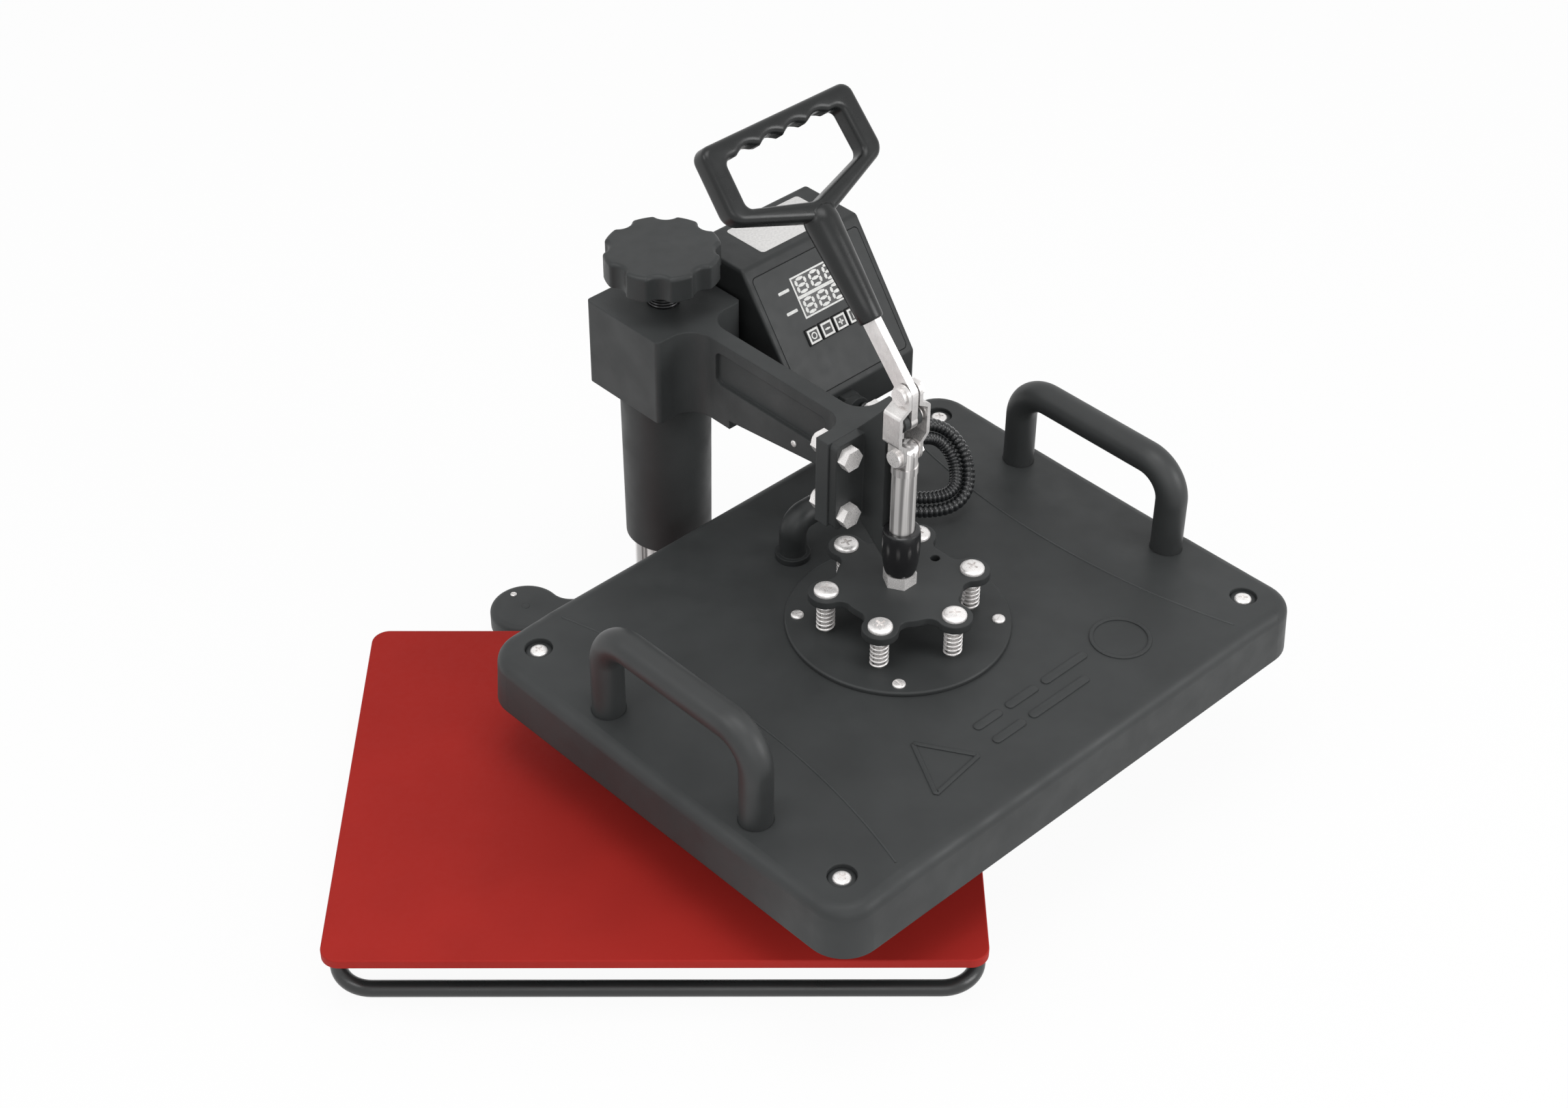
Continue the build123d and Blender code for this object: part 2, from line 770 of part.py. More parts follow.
# Bowed link plates
for side, plate_name in ((1, "link_right"), (-1, "link_left")):
    with BuildPart() as link_plate:
        with BuildSketch(Plane.XZ.offset(arm_reach - link_width / 2)):
            with BuildLine():
                Polyline(
                    (link_narrow_gap, crank_height + link_width / 2),
                    (link_narrow_gap, crank_height - link_bend_start),
                    (link_bow_gap, crank_height - link_bow_start),
                    (link_bow_gap, crank_height - link_bow_end),
                    (link_foot_gap, crank_height - link_foot_start),
                    (link_foot_gap, link_foot_height - link_width / 2),
                )
                offset(amount=link_thickness, side=Side.LEFT)
            make_face()
        extrude(amount=link_width)
        with BuildSketch(Plane.YZ):
            with Locations((-arm_reach, (crank_height + link_foot_height) / 2)):
                SlotCenterToCenter(link_length, link_width, rotation=90)
        extrude(amount=2 * link_bow_gap, mode=Mode.INTERSECT)
        with BuildSketch(Plane.YZ):
            with Locations((-arm_reach, crank_height), (-arm_reach, link_foot_height)):
                Circle(pin_diameter / 2 + seat_fit)
        extrude(amount=2 * link_bow_gap, mode=Mode.SUBTRACT)
        if side < 0:
            mirror(about=Plane.YZ, mode=Mode.REPLACE)
    save_head(link_plate, plate_name)

# Link bolt through the lever, and the two halves of the bolt at the plunger eye
with BuildPart() as link_bolt:
    upper_face = link_narrow_gap + link_thickness
    with BuildSketch(Plane.YZ.offset(-upper_face - pin_head_height)):
        with Locations((-arm_reach, crank_height)):
            Circle(pin_diameter / 2)
    extrude(amount=2 * (upper_face + pin_head_height))
    with BuildSketch(Plane.YZ.offset(-upper_face)):
        with Locations((-arm_reach, crank_height)):
            Circle(link_head_radius)
    extrude(amount=-pin_head_height)
    with BuildSketch(Plane.YZ.offset(upper_face)):
        with Locations((-arm_reach, crank_height)):
            RegularPolygon(link_nut_width / 2, 6, major_radius=False)
    extrude(amount=pin_head_height)
save_head(link_bolt, "link_bolt")

with BuildPart() as eye_bolt:
    for side in (-1, 1):
        with BuildSketch(Plane.YZ.offset(side * link_foot_gap)):
            with Locations((-arm_reach, link_foot_height)):
                Circle(pin_diameter / 2)
        extrude(amount=side * link_thickness)
    eye_face = link_foot_gap + link_thickness
    with BuildSketch(Plane.YZ.offset(-eye_face)):
        with Locations((-arm_reach, link_foot_height)):
            Circle(link_head_radius)
    extrude(amount=-pin_head_height)
    with BuildSketch(Plane.YZ.offset(eye_face)):
        with Locations((-arm_reach, link_foot_height)):
            RegularPolygon(link_nut_width / 2, 6, major_radius=False)
    extrude(amount=pin_head_height)
save_head(eye_bolt, "eye_bolt")

# Plunger with its flat eye
with BuildPart() as plunger:
    with BuildSketch(Plane.YZ):
        with Locations((-arm_reach, link_foot_height)):
            Circle(plunger_eye_radius)
        with Locations((-arm_reach, (neck_bottom + link_foot_height) / 2)):
            Rectangle(2 * plunger_eye_radius, link_foot_height - neck_bottom)
    extrude(amount=plunger_flat / 2, both=True)
    with BuildSketch(press_plane.offset(neck_bottom)):
        Circle(plunger_eye_radius)
    extrude(amount=2 * link_length, mode=Mode.INTERSECT)
    with BuildSketch(Plane.YZ):
        with Locations((-arm_reach, link_foot_height)):
            Circle(pin_diameter / 2 + slide_fit)
    extrude(amount=plunger_flat, both=True, mode=Mode.SUBTRACT)
    with BuildSketch(press_plane.offset(neck_bottom)):
        Circle(neck_radius)
    extrude(amount=neck_height)
    with BuildSketch(press_plane.offset(star_top + lock_nut_height)):
        Circle(plunger_diameter / 2)
    extrude(amount=neck_bottom - star_top - lock_nut_height)
    with BuildSketch(press_plane.offset(plunger_bottom)):
        Circle(plunger_thread / 2)
    extrude(amount=star_top + lock_nut_height - plunger_bottom)
save_head(plunger, "plunger")

# Nuts that clamp the star plate
with BuildPart() as clamp_nuts:
    for nut_bottom, nut_height in (
        (star_top, lock_nut_height),
        (star_bottom - under_nut_height, under_nut_height),
    ):
        with BuildSketch(press_plane.offset(nut_bottom)):
            RegularPolygon(nut_width / 2, 6, major_radius=False)
            Circle(plunger_thread / 2 + seat_fit, mode=Mode.SUBTRACT)
        extrude(amount=nut_height)
save_head(clamp_nuts, "clamp_nuts")

# Star plate
with BuildPart() as star_plate:
    with BuildSketch(press_plane.offset(star_bottom)) as star_outline:
        Circle(star_radius)
        with PolarLocations(suspension_radius, suspension_count, suspension_angle):
            Circle(star_lobe_radius)
        fillet(star_outline.vertices(), star_blend)
        with PolarLocations(suspension_radius, suspension_count, suspension_angle):
            Circle(screw_shank / 2 + screw_hole_gap, mode=Mode.SUBTRACT)
        Circle(plunger_thread / 2 + seat_fit, mode=Mode.SUBTRACT)
        with Locations((sight_hole_offset, 0)):
            Circle(sight_hole_radius, mode=Mode.SUBTRACT)
    extrude(amount=star_thickness)
save_head(star_plate, "star_plate")

# Mounting disc on the platen
with BuildPart() as mounting_disc:
    with BuildSketch(press_plane.offset(platen_top)):
        Circle(disc_diameter / 2)
        with PolarLocations(suspension_radius, suspension_count, suspension_angle):
            Circle(screw_shank / 2 + seat_fit, mode=Mode.SUBTRACT)
    extrude(amount=disc_thickness)
    disc_rim = mounting_disc.edges().group_by(Axis.Z)[-1].sort_by(SortBy.RADIUS)[-1]
    chamfer(disc_rim, disc_chamfer)
save_head(mounting_disc, "mounting_disc")


def biarc(start, start_direction, end, end_direction):
    """Join two points with two arcs that keep the directions at both ends."""
    span = end - start
    both_directions = start_direction + end_direction
    share = 2 * (1 - start_direction.dot(end_direction))
    along = span.dot(both_directions)
    reach = (sqrt(along * along + share * span.dot(span)) - along) / share
    first_corner = start + start_direction * reach
    second_corner = end - end_direction * reach
    middle = (first_corner + second_corner) * 0.5
    TangentArc(start, middle, tangent=start_direction)
    TangentArc(middle, end, tangent=second_corner - first_corner)


def coil_state(angle, coil_radius, coil_pitch):
    """Point and direction on a helix, at an angle in radians."""
    climb = coil_pitch / (2 * pi)
    point = Vector(coil_radius * cos(angle), coil_radius * sin(angle), climb * angle)
    direction = Vector(-coil_radius * sin(angle), coil_radius * cos(angle), climb).normalized()
    return point, direction


# Shoulder screws and springs between the star plate and the platen
spring_radius = (spring_outer - spring_wire) / 2
spring_height = star_bottom - disc_top - spring_wire - 2 * side_gap
spring_pitch = spring_height / spring_turns
spring_turn_length = hypot(spring_pitch, 2 * pi * spring_radius)
spring_gap = spring_pitch * 2 * pi * spring_radius / spring_turn_length - spring_wire
print("least gap between spring turns", round(spring_gap, 2))
with BuildPart() as spring:
    with BuildLine() as spring_line:
        for half_turn in range(int(2 * spring_turns)):
            coil_start, start_direction = coil_state(pi * half_turn, spring_radius, spring_pitch)
            coil_end, end_direction = coil_state(pi * (half_turn + 1), spring_radius, spring_pitch)
            biarc(coil_start, start_direction, coil_end, end_direction)
    with BuildSketch(Plane(origin=spring_line.line @ 0, z_dir=spring_line.line % 0)):
        RegularPolygon(spring_wire / 2, 6)
    sweep()
with BuildPart() as shoulder_screw:
    with BuildSketch(Plane.XY.offset(platen_top + seat_fit)):
        Circle(screw_shank / 2)
    extrude(amount=star_top - platen_top - seat_fit)
    with BuildSketch(Plane.XY.offset(star_top)):
        Circle(screw_head_radius)
    extrude(amount=screw_head_height)
    fillet(shoulder_screw.edges().group_by(Axis.Z)[-1], screw_head_round)
with Locations((0, -arm_reach)):
    suspension_places = PolarLocations(suspension_radius, suspension_count, suspension_angle).locations
for place_number, suspension_place in enumerate(suspension_places, start=1):
    with BuildPart(suspension_place) as placed_screw:
        add(shoulder_screw.part)
    save_head(placed_screw, f"shoulder_screw_{place_number}")
    with BuildPart(suspension_place) as placed_spring:
        with Locations((0, 0, disc_top + side_gap + spring_wire / 2)):
            add(spring.part)
    save_head(placed_spring, f"spring_{place_number}")

# Platen cover: a drafted, rounded shell whose sides slope away from a curved crease
platen_middle = (platen_back + platen_front) / 2
platen_depth = platen_front - platen_back
platen_height = platen_top - platen_skirt_bottom
platen_taper = degrees(asin(platen_draft / platen_height))
crease_bow = crease_corner - crease_inner
saddle_radius = (platen_depth / 2) ** 2 / (2 * crease_bow * tan(radians(wing_slope)))
cover_screws = [
    (u, -v)
    for u in (-cover_screw_u, cover_screw_u)
    for v in (cover_screw_back, cover_screw_front)
]
grab_feet = [(u, -v) for u in (-grab_u, grab_u) for v in (grab_back, grab_front)]
with BuildPart() as platen_cover:
    with BuildSketch(Plane.XY.offset(platen_skirt_bottom)):
        with Locations((0, -platen_middle)):
            RectangleRounded(2 * platen_half_width, platen_depth, platen_corner_radius)
    extrude(amount=platen_height, taper=platen_taper)
    # Each side is cut by a huge cylinder that leans down towards the edge
    for side in (-1, 1):
        crease_plane = Plane(
            origin=(side * crease_inner, -platen_middle, platen_top),
            x_dir=(0, 1, 0),
            z_dir=(side * cos(radians(wing_slope)), 0, -sin(radians(wing_slope))),
        )
        with BuildSketch(crease_plane.offset(-crease_bow)):
            with Locations((0, side * saddle_radius)):
                Circle(saddle_radius)
        extrude(amount=2 * platen_half_width, mode=Mode.SUBTRACT)
    upper_edges = platen_cover.edges().filter_by(lambda e: (e @ 0.5).Z > platen_top - platen_edge_radius)
    fillet(upper_edges.filter_by(lambda e: abs(abs((e @ 0.5).X) - crease_inner) > 1), platen_edge_radius)
    # Open underside for the heating plate
    with BuildSketch(Plane.XY.offset(platen_skirt_bottom)):
        with Locations((0, -platen_middle)):
            RectangleRounded(
                2 * (platen_half_width - platen_draft - platen_wall),
                platen_depth - 2 * (platen_draft + platen_wall),
                platen_corner_radius - platen_wall,
            )
    extrude(amount=heater_thickness - heater_drop, mode=Mode.SUBTRACT)
    with BuildSketch(Plane.XY.offset(platen_skirt_bottom)):
        with Locations((0, -platen_middle)):
            RectangleRounded(
                2 * (platen_half_width - ledge_width),
                platen_depth - 2 * ledge_width,
                platen_corner_radius / 2,
            )
    extrude(amount=platen_height - platen_roof, mode=Mode.SUBTRACT)
    # Counterbores of the corner screws and seats of the grab handles
    with BuildSketch(Plane.XY.offset(platen_top - counterbore_depth)):
        with Locations(*cover_screws):
            Circle(counterbore_radius)
    extrude(amount=counterbore_depth, mode=Mode.SUBTRACT)
    with BuildSketch(Plane.XY.offset(grab_seat_height)):
        with Locations(*grab_feet):
            Circle(grab_diameter / 2 + seat_fit)
    extrude(amount=platen_top - grab_seat_height, mode=Mode.SUBTRACT)
save_head(platen_cover, "platen_cover")

# Heating plate
with BuildPart() as heating_plate:
    with BuildSketch(Plane.XY.offset(heater_bottom)):
        with Locations((0, -platen_middle)):
            RectangleRounded(
                2 * (platen_half_width - platen_draft - platen_wall - heater_gap),
                platen_depth - 2 * (platen_draft + platen_wall + heater_gap),
                platen_corner_radius - platen_wall - heater_gap,
            )
    extrude(amount=heater_thickness)
    fillet(heating_plate.edges().group_by(Axis.Z)[0], heater_edge_radius)
save_head(heating_plate, "heating_plate")

# Grab handles
for side, grab_name in ((-1, "grab_left"), (1, "grab_right")):
    with BuildPart() as grab_handle:
        with BuildLine() as grab_line:
            FilletPolyline(
                (side * grab_u, -grab_back, grab_seat_height),
                (side * grab_u, -grab_back, grab_axis_height),
                (side * grab_u, -grab_front, grab_axis_height),
                (side * grab_u, -grab_front, grab_seat_height),
                radius=grab_bend,
            )
        with BuildSketch(Plane.XY.offset(grab_seat_height)):
            with Locations((side * grab_u, -grab_back)):
                Circle(grab_diameter / 2)
        sweep()
    save_head(grab_handle, grab_name)

# Cable elbow on the platen
with BuildPart() as cable_elbow:
    with BuildSketch(Plane.XY.offset(platen_top)):
        with Locations((elbow_u, -elbow_v)):
            Circle(elbow_flange_radius)
    extrude(amount=elbow_flange_height)
    with BuildLine() as elbow_line:
        FilletPolyline(
            (elbow_u, -elbow_v, platen_top + elbow_flange_height),
            (elbow_u, -elbow_v, elbow_axis_height),
            (elbow_end_u, -elbow_v, elbow_axis_height),
            radius=elbow_bend,
        )
    with BuildSketch(Plane.XY.offset(platen_top + elbow_flange_height)):
        with Locations((elbow_u, -elbow_v)):
            Circle(elbow_radius)
    sweep()
save_head(cable_elbow, "cable_elbow")


def corner_radii(points, share=0.45):
    """Bend radius at each corner of a route, as large as its two runs allow."""
    radii = []
    for before, corner, after in zip(points, points[1:], points[2:]):
        shorter = min((corner - before).length, (after - corner).length)
        turn = (corner - before).get_angle(after - corner)
        radii.append(share * shorter / tan(radians(turn / 2)))
    return radii


def ring_plane(path, position, steady, shift):
    """Plane across the path, turned by a steady direction and shifted sideways."""
    across = (path % position).cross(steady).normalized()
    return Plane(origin=path @ position + across * shift, x_dir=across, z_dir=path % position)


# Ribbed conduits, a pair that runs from the elbow to the control box
gland_front = box_nose + gland_length
route_points = [
    Vector(elbow_end_u + seat_fit, -elbow_v, elbow_axis_height),
    *(Vector(u, -v, z) for u, v, z in conduit_route),
    Vector(gland_u, -gland_front - seat_fit, gland_z),
]
route_radii = corner_radii(route_points)
print("conduit bend radii", [round(radius, 1) for radius in route_radii])
conduit_path = FilletPolyline(*route_points, radius=route_radii)
rib_count = round(conduit_path.length / conduit_rib_pitch)
rib_stations = [
    ((rib + share) / rib_count, conduit_radius - conduit_rib_depth + height)
    for rib in range(rib_count)
    for share, height in zip(rib_shares, (0, conduit_rib_depth, conduit_rib_depth, 0))
]
rib_stations.append((1.0, conduit_radius - conduit_rib_depth))
for side, conduit_name in ((-1, "conduit_outer"), (1, "conduit_inner")):
    with BuildPart() as conduit:
        for station, station_radius in rib_stations:
            with BuildSketch(ring_plane(conduit_path, station, conduit_steady, side * conduit_spread / 2)):
                Circle(station_radius)
        loft(ruled=True)
        for station in [rib / rib_count for rib in range(rib_count + 1)]:
            with BuildSketch(ring_plane(conduit_path, station, conduit_steady, side * conduit_spread / 2)):
                Circle(conduit_bore_radius)
        loft(ruled=True, mode=Mode.SUBTRACT)
    save_head(conduit, conduit_name)

# Cable gland on the control box
with BuildPart() as conduit_gland:
    with BuildSketch(Plane.XZ.offset(box_nose - box_wall)):
        with Locations((gland_u, gland_z)):
            Circle(gland_thread_radius)
    extrude(amount=box_wall)
    with BuildSketch(Plane.XZ.offset(box_nose)):
        with Locations((gland_u, gland_z)):
            RegularPolygon(gland_radius, 6)
    extrude(amount=gland_length / 2)
    with BuildSketch(Plane.XZ.offset(box_nose + gland_length / 2)):
        with Locations((gland_u, gland_z)):
            Circle(gland_cap_radius)
    extrude(amount=gland_length / 2)
save_head(conduit_gland, "conduit_gland")

# Control box: a sloping-front housing with a recessed panel
box_width = box_right - box_left
panel_width = box_width - 2 * panel_side_inset
panel_height = panel_length - panel_top_inset - panel_bottom_inset
panel_centre = (box_width / 2, -(panel_top_inset + panel_height / 2))
box_corners = [
    (-box_back, box_bottom),
    (-box_back, box_top),
    (-box_top_front, box_top),
    (-box_nose, box_nose_height),
    (-box_nose, box_bottom),
]
with BuildPart() as control_box:
    with BuildSketch(Plane.YZ.offset(box_left)) as box_profile:
        Polygon(*box_corners, align=None)
        fillet(box_profile.vertices(), box_edge_radius)
    extrude(amount=box_width)
    fillet(control_box.faces().sort_by(Axis.X)[-1].edges(), box_side_radius)
    fillet(control_box.faces().sort_by(Axis.X)[0].edges(), box_side_radius)
    with BuildSketch(Plane.YZ.offset(box_left + box_wall)):
        Polygon(*box_corners, align=None)
        offset(amount=-box_wall, mode=Mode.REPLACE)
    extrude(amount=box_width - 2 * box_wall, mode=Mode.SUBTRACT)
    # Panel recess and the window behind it
    with BuildSketch(panel_plane):
        with Locations(panel_centre):
            RectangleRounded(panel_width + 2 * side_gap, panel_height + 2 * side_gap, panel_corner_radius)
    extrude(amount=-panel_thickness, mode=Mode.SUBTRACT)
    with BuildSketch(panel_plane):
        with Locations(panel_centre):
            Rectangle(panel_width - 2 * panel_ledge, panel_height - 2 * panel_ledge)
    extrude(amount=-2 * box_wall, mode=Mode.SUBTRACT)
    # Holes for the gland, the power inlet and the switch
    with BuildSketch(Plane.XZ.offset(box_nose)):
        with Locations((gland_u, gland_z)):
            Circle(gland_thread_radius + seat_fit)
    extrude(amount=-box_wall, mode=Mode.SUBTRACT)
    with BuildSketch(Plane.XZ.offset(box_back)):
        with Locations((inlet_u, rear_row_z)):
            Rectangle(inlet_width, inlet_height)
        with Locations((switch_u, rear_row_z)):
            Rectangle(switch_width + 2 * side_gap, switch_height + 4 * side_gap)
    extrude(amount=box_wall, mode=Mode.SUBTRACT)
save_head(control_box, "control_box")

# Control panel
display_rows = (display_high, display_low)
display_centres = [(display_left + display_width / 2, -(row + display_height / 2)) for row in display_rows]
button_names = ("button_set", "button_minus", "button_plus", "button_start")
button_centres = [
    (button_left + button_size / 2 + button_pitch * column, -(button_row + button_size / 2))
    for column in range(len(button_names))
]
with BuildPart() as control_panel:
    with BuildSketch(panel_plane):
        with Locations(panel_centre):
            RectangleRounded(panel_width, panel_height, panel_corner_radius)
    extrude(amount=-panel_thickness)
    with BuildSketch(panel_plane):
        with Locations(*display_centres):
            Rectangle(display_width, display_height)
    extrude(amount=-display_depth, mode=Mode.SUBTRACT)
    with BuildSketch(panel_plane):
        with Locations(*button_centres):
            Rectangle(button_size + 2 * side_gap, button_size + 2 * side_gap)
    extrude(amount=-panel_thickness, mode=Mode.SUBTRACT)
save_head(control_panel, "control_panel")

# Display lenses
with BuildPart() as display_lenses:
    with BuildSketch(panel_plane.offset(-display_depth)):
        with Locations(*display_centres):
            Rectangle(display_width - 2 * seat_fit, display_height - 2 * seat_fit)
    extrude(amount=display_depth)
save_head(display_lenses, "display_lenses")

# Push buttons
for button_name, button_centre in zip(button_names, button_centres):
    with BuildPart() as push_button:
        with BuildSketch(panel_plane.offset(button_proud - button_length)):
            with Locations(button_centre):
                Rectangle(button_size, button_size)
        extrude(amount=button_length)
        button_rim = push_button.faces().sort_by(Axis(panel_plane.origin, panel_plane.z_dir))[-1].edges()
        fillet(button_rim, button_edge_radius)
    save_head(push_button, button_name)

# Mounting plate between the arm block and the control box
with BuildPart() as box_bracket:
    with BuildSketch(Plane.YZ.offset(block_width / 2)):
        with Locations((-box_bracket_v, box_bracket_z)):
            RectangleRounded(box_bracket_depth, box_bracket_height, plate_radius)
    extrude(amount=box_left - block_width / 2)
save_head(box_bracket, "box_bracket")

# Power inlet with its pin recess
with BuildPart() as power_inlet:
    with BuildSketch(Plane.XZ.offset(box_back)):
        with Locations((inlet_u, rear_row_z)):
            Rectangle(inlet_width - 2 * seat_fit, inlet_height - 2 * seat_fit)
    extrude(amount=inlet_depth)
    with BuildSketch(Plane.XZ.offset(box_back)):
        with Locations((inlet_u, rear_row_z)):
            RectangleRounded(inlet_width + 2 * inlet_lip, inlet_height + 2 * inlet_lip, inlet_lip)
    extrude(amount=-inlet_lip_thickness)
    with BuildSketch(Plane.XZ.offset(box_back - inlet_lip_thickness)):
        with Locations((inlet_u, rear_row_z)):
            Rectangle(inlet_width - 2 * inlet_wall, inlet_height - 2 * inlet_wall)
    extrude(amount=inlet_depth, mode=Mode.SUBTRACT)
    with BuildSketch(Plane.XZ.offset(box_back + inlet_depth - inlet_wall)):
        with Locations((inlet_u, rear_row_z - pin_row_drop)):
            with GridLocations(pin_spacing, 0, 3, 1):
                Rectangle(pin_blade_width, pin_blade_height)
    extrude(amount=-pin_blade_length)
save_head(power_inlet, "power_inlet")

# Rocker switch, resting with its lower edge pressed in
rocker_axis_y = -box_back - box_wall / 2
with BuildPart() as power_switch:
    with BuildSketch(Plane.YZ.offset(switch_u - switch_width / 2)):
        with Locations((rocker_axis_y, rear_row_z)):
            Rectangle(2 * rocker_half_depth, switch_height - 2 * side_gap, rotation=rocker_tilt)
    extrude(amount=switch_width)
    with BuildSketch(Plane.YZ.offset(switch_u - switch_width / 2 - side_gap + seat_fit)):
        with Locations((rocker_axis_y, rear_row_z)):
            Circle(rocker_pin_radius)
    extrude(amount=switch_width + 2 * (side_gap - seat_fit))
save_head(power_switch, "power_switch")
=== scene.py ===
from math import cos, pi, radians, sin

import bmesh
import bpy
from bpy.props import FloatProperty, FloatVectorProperty, IntProperty, PointerProperty
from mathutils import Matrix, Vector


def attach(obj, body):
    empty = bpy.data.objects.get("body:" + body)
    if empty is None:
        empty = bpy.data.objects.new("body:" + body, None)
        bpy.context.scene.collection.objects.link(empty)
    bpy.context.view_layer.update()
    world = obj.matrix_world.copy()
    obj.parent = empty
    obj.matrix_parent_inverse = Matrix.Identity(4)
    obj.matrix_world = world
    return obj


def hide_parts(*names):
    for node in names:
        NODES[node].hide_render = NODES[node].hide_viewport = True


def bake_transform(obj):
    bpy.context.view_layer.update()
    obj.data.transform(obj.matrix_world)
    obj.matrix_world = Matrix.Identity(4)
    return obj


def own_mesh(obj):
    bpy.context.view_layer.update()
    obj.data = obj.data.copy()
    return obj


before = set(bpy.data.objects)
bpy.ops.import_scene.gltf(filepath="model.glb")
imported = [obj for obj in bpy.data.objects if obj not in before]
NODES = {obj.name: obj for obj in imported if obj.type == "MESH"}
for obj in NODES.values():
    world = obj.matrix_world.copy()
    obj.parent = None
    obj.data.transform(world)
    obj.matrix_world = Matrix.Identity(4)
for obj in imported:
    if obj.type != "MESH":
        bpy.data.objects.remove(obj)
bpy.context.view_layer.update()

bl_info = {
    "name": "Swing-away heat press",
    "version": (1, 0, 0),
    "blender": (4, 5, 0),
    "location": "View3D > Sidebar > Heat press",
    "description": "Dresses the packed heat press with its finishes, screws, springs, conduits and panel",
    "category": "Object",
}

MM = 0.001

# Points nearer to each other than this are one, in metres
SAME_PLACE = 1e-6

# Places on the head are given across, forward and up in millimetres, before it is swung
SWING = Matrix.Rotation(radians(43.2), 4, "Z")
ARM_REACH = 208.5
PLATEN_TOP = 130.0
DISC_TOP = 133.0
STAR_BOTTOM = 157.0
STAR_TOP = 162.0
SUSPENSION_RADIUS = 45.16
BOX_LEFT = 38.0
BOX_TOP = 278.4
BOX_BACK = -18.0
BOX_TOP_FRONT = 30.0
BOX_NOSE = 84.8
BOX_NOSE_HEIGHT = 201.0
CREASE_NEAR = 124.0
CREASE_RADIUS = 478.0
CREASE_SPAN = 34.4
COUNTERBORE_DEPTH = 5.0
CORNER_SCREWS = ((-172.5, 78), (172.5, 78), (-172.5, 335.5), (172.5, 335.5))
DISC_SCREW_RADIUS = 60.65

# The lever handle: its lean in degrees, its pivot's height, and places along the grip from its lower end
LEVER_LEAN = 41.6
LEVER_PIVOT_HEIGHT = 299.5
GRIP_START = 45.2
LOOP_TOP = 127.0
LOOP_THICKNESS = 14.0
LOOP_ROUND_OFF = 4.2
OPENING_TOP = 115.2

# How far small pieces are sunk into what carries them
SUNK = 0.05

# How high printed marks stand, and how far a key's face is above the panel
PRINT_HEIGHT = 0.12
KEY_FACE = 1.58


def head(across, forward, up):
    """A place on the swung head, in metres."""
    return SWING @ Vector((across * MM, -forward * MM, up * MM))


def head_frame(across, forward, up, turn=None):
    """A frame on the swung head, turned by an optional matrix."""
    matrix = SWING @ Matrix.Translation((across * MM, -forward * MM, up * MM))
    return matrix @ turn if turn else matrix


def panel_frame():
    """The frame of the sloping panel: across, up the slope, and out of it."""
    run = Vector((0, -(BOX_NOSE - BOX_TOP_FRONT), BOX_NOSE_HEIGHT - BOX_TOP)).normalized()
    across = Vector((1, 0, 0))
    up_slope = -run
    out = across.cross(up_slope)
    turn = Matrix((across, up_slope, out)).transposed().to_4x4()
    return head_frame(BOX_LEFT, BOX_TOP_FRONT, BOX_TOP, turn)


# Materials

class Nodes:
    """Short hand for the nodes of one material."""

    def __init__(self, name):
        material = bpy.data.materials.new(name)
        material.use_nodes = True
        self.tree = material.node_tree
        self.shader = self.tree.nodes["Principled BSDF"]

    def add(self, kind, **values):
        node = self.tree.nodes.new(kind)
        for key, value in values.items():
            setattr(node, key, value)
        return node

    def link(self, start, end):
        self.tree.links.new(start, end)

    def coordinates(self, stretch=(1, 1, 1)):
        place = self.add("ShaderNodeTexCoord")
        mapping = self.add("ShaderNodeMapping")
        mapping.inputs["Scale"].default_value = stretch
        self.link(place.outputs["Object"], mapping.inputs["Vector"])
        return mapping.outputs["Vector"]

    def noise(self, vector, scale, detail=2.0):
        noise = self.add("ShaderNodeTexNoise")
        noise.inputs["Scale"].default_value = scale
        noise.inputs["Detail"].default_value = detail
        self.link(vector, noise.inputs["Vector"])
        return noise.outputs["Fac"]

    def spread(self, value, low, high):
        """The middle of a noise, spread over a range."""
        ranged = self.add("ShaderNodeMapRange")
        ranged.inputs["From Min"].default_value = 0.3
        ranged.inputs["From Max"].default_value = 0.7
        ranged.inputs["To Min"].default_value = low
        ranged.inputs["To Max"].default_value = high
        self.link(value, ranged.inputs["Value"])
        return ranged.outputs["Result"]

    def colours(self, value, dark, light, low=0.35, high=0.65):
        ramp = self.add("ShaderNodeValToRGB")
        ramp.color_ramp.elements[0].position = low
        ramp.color_ramp.elements[0].color = (*dark, 1)
        ramp.color_ramp.elements[1].position = high
        ramp.color_ramp.elements[1].color = (*light, 1)
        self.link(value, ramp.inputs["Fac"])
        self.link(ramp.outputs["Color"], self.shader.inputs["Base Color"])

    def soft_corners(self, radius):
        """A normal that is rounded off along the corners."""
        corner = self.add("ShaderNodeBevel", samples=4)
        corner.inputs["Radius"].default_value = radius
        return corner.outputs["Normal"]

    def bump(self, value, depth, strength, previous=None):
        bump = self.add("ShaderNodeBump")
        bump.inputs["Distance"].default_value = depth
        bump.inputs["Strength"].default_value = strength
        self.link(value, bump.inputs["Height"])
        if previous:
            self.link(previous, bump.inputs["Normal"])
        self.link(bump.outputs["Normal"], self.shader.inputs["Normal"])
        return bump.outputs["Normal"]

    def set(self, **values):
        for key, value in values.items():
            self.shader.inputs[key.replace("_", " ")].default_value = value


def shade(colour, amount):
    """A colour made darker or lighter by a factor."""
    return tuple(min(1.0, channel * amount) for channel in colour)


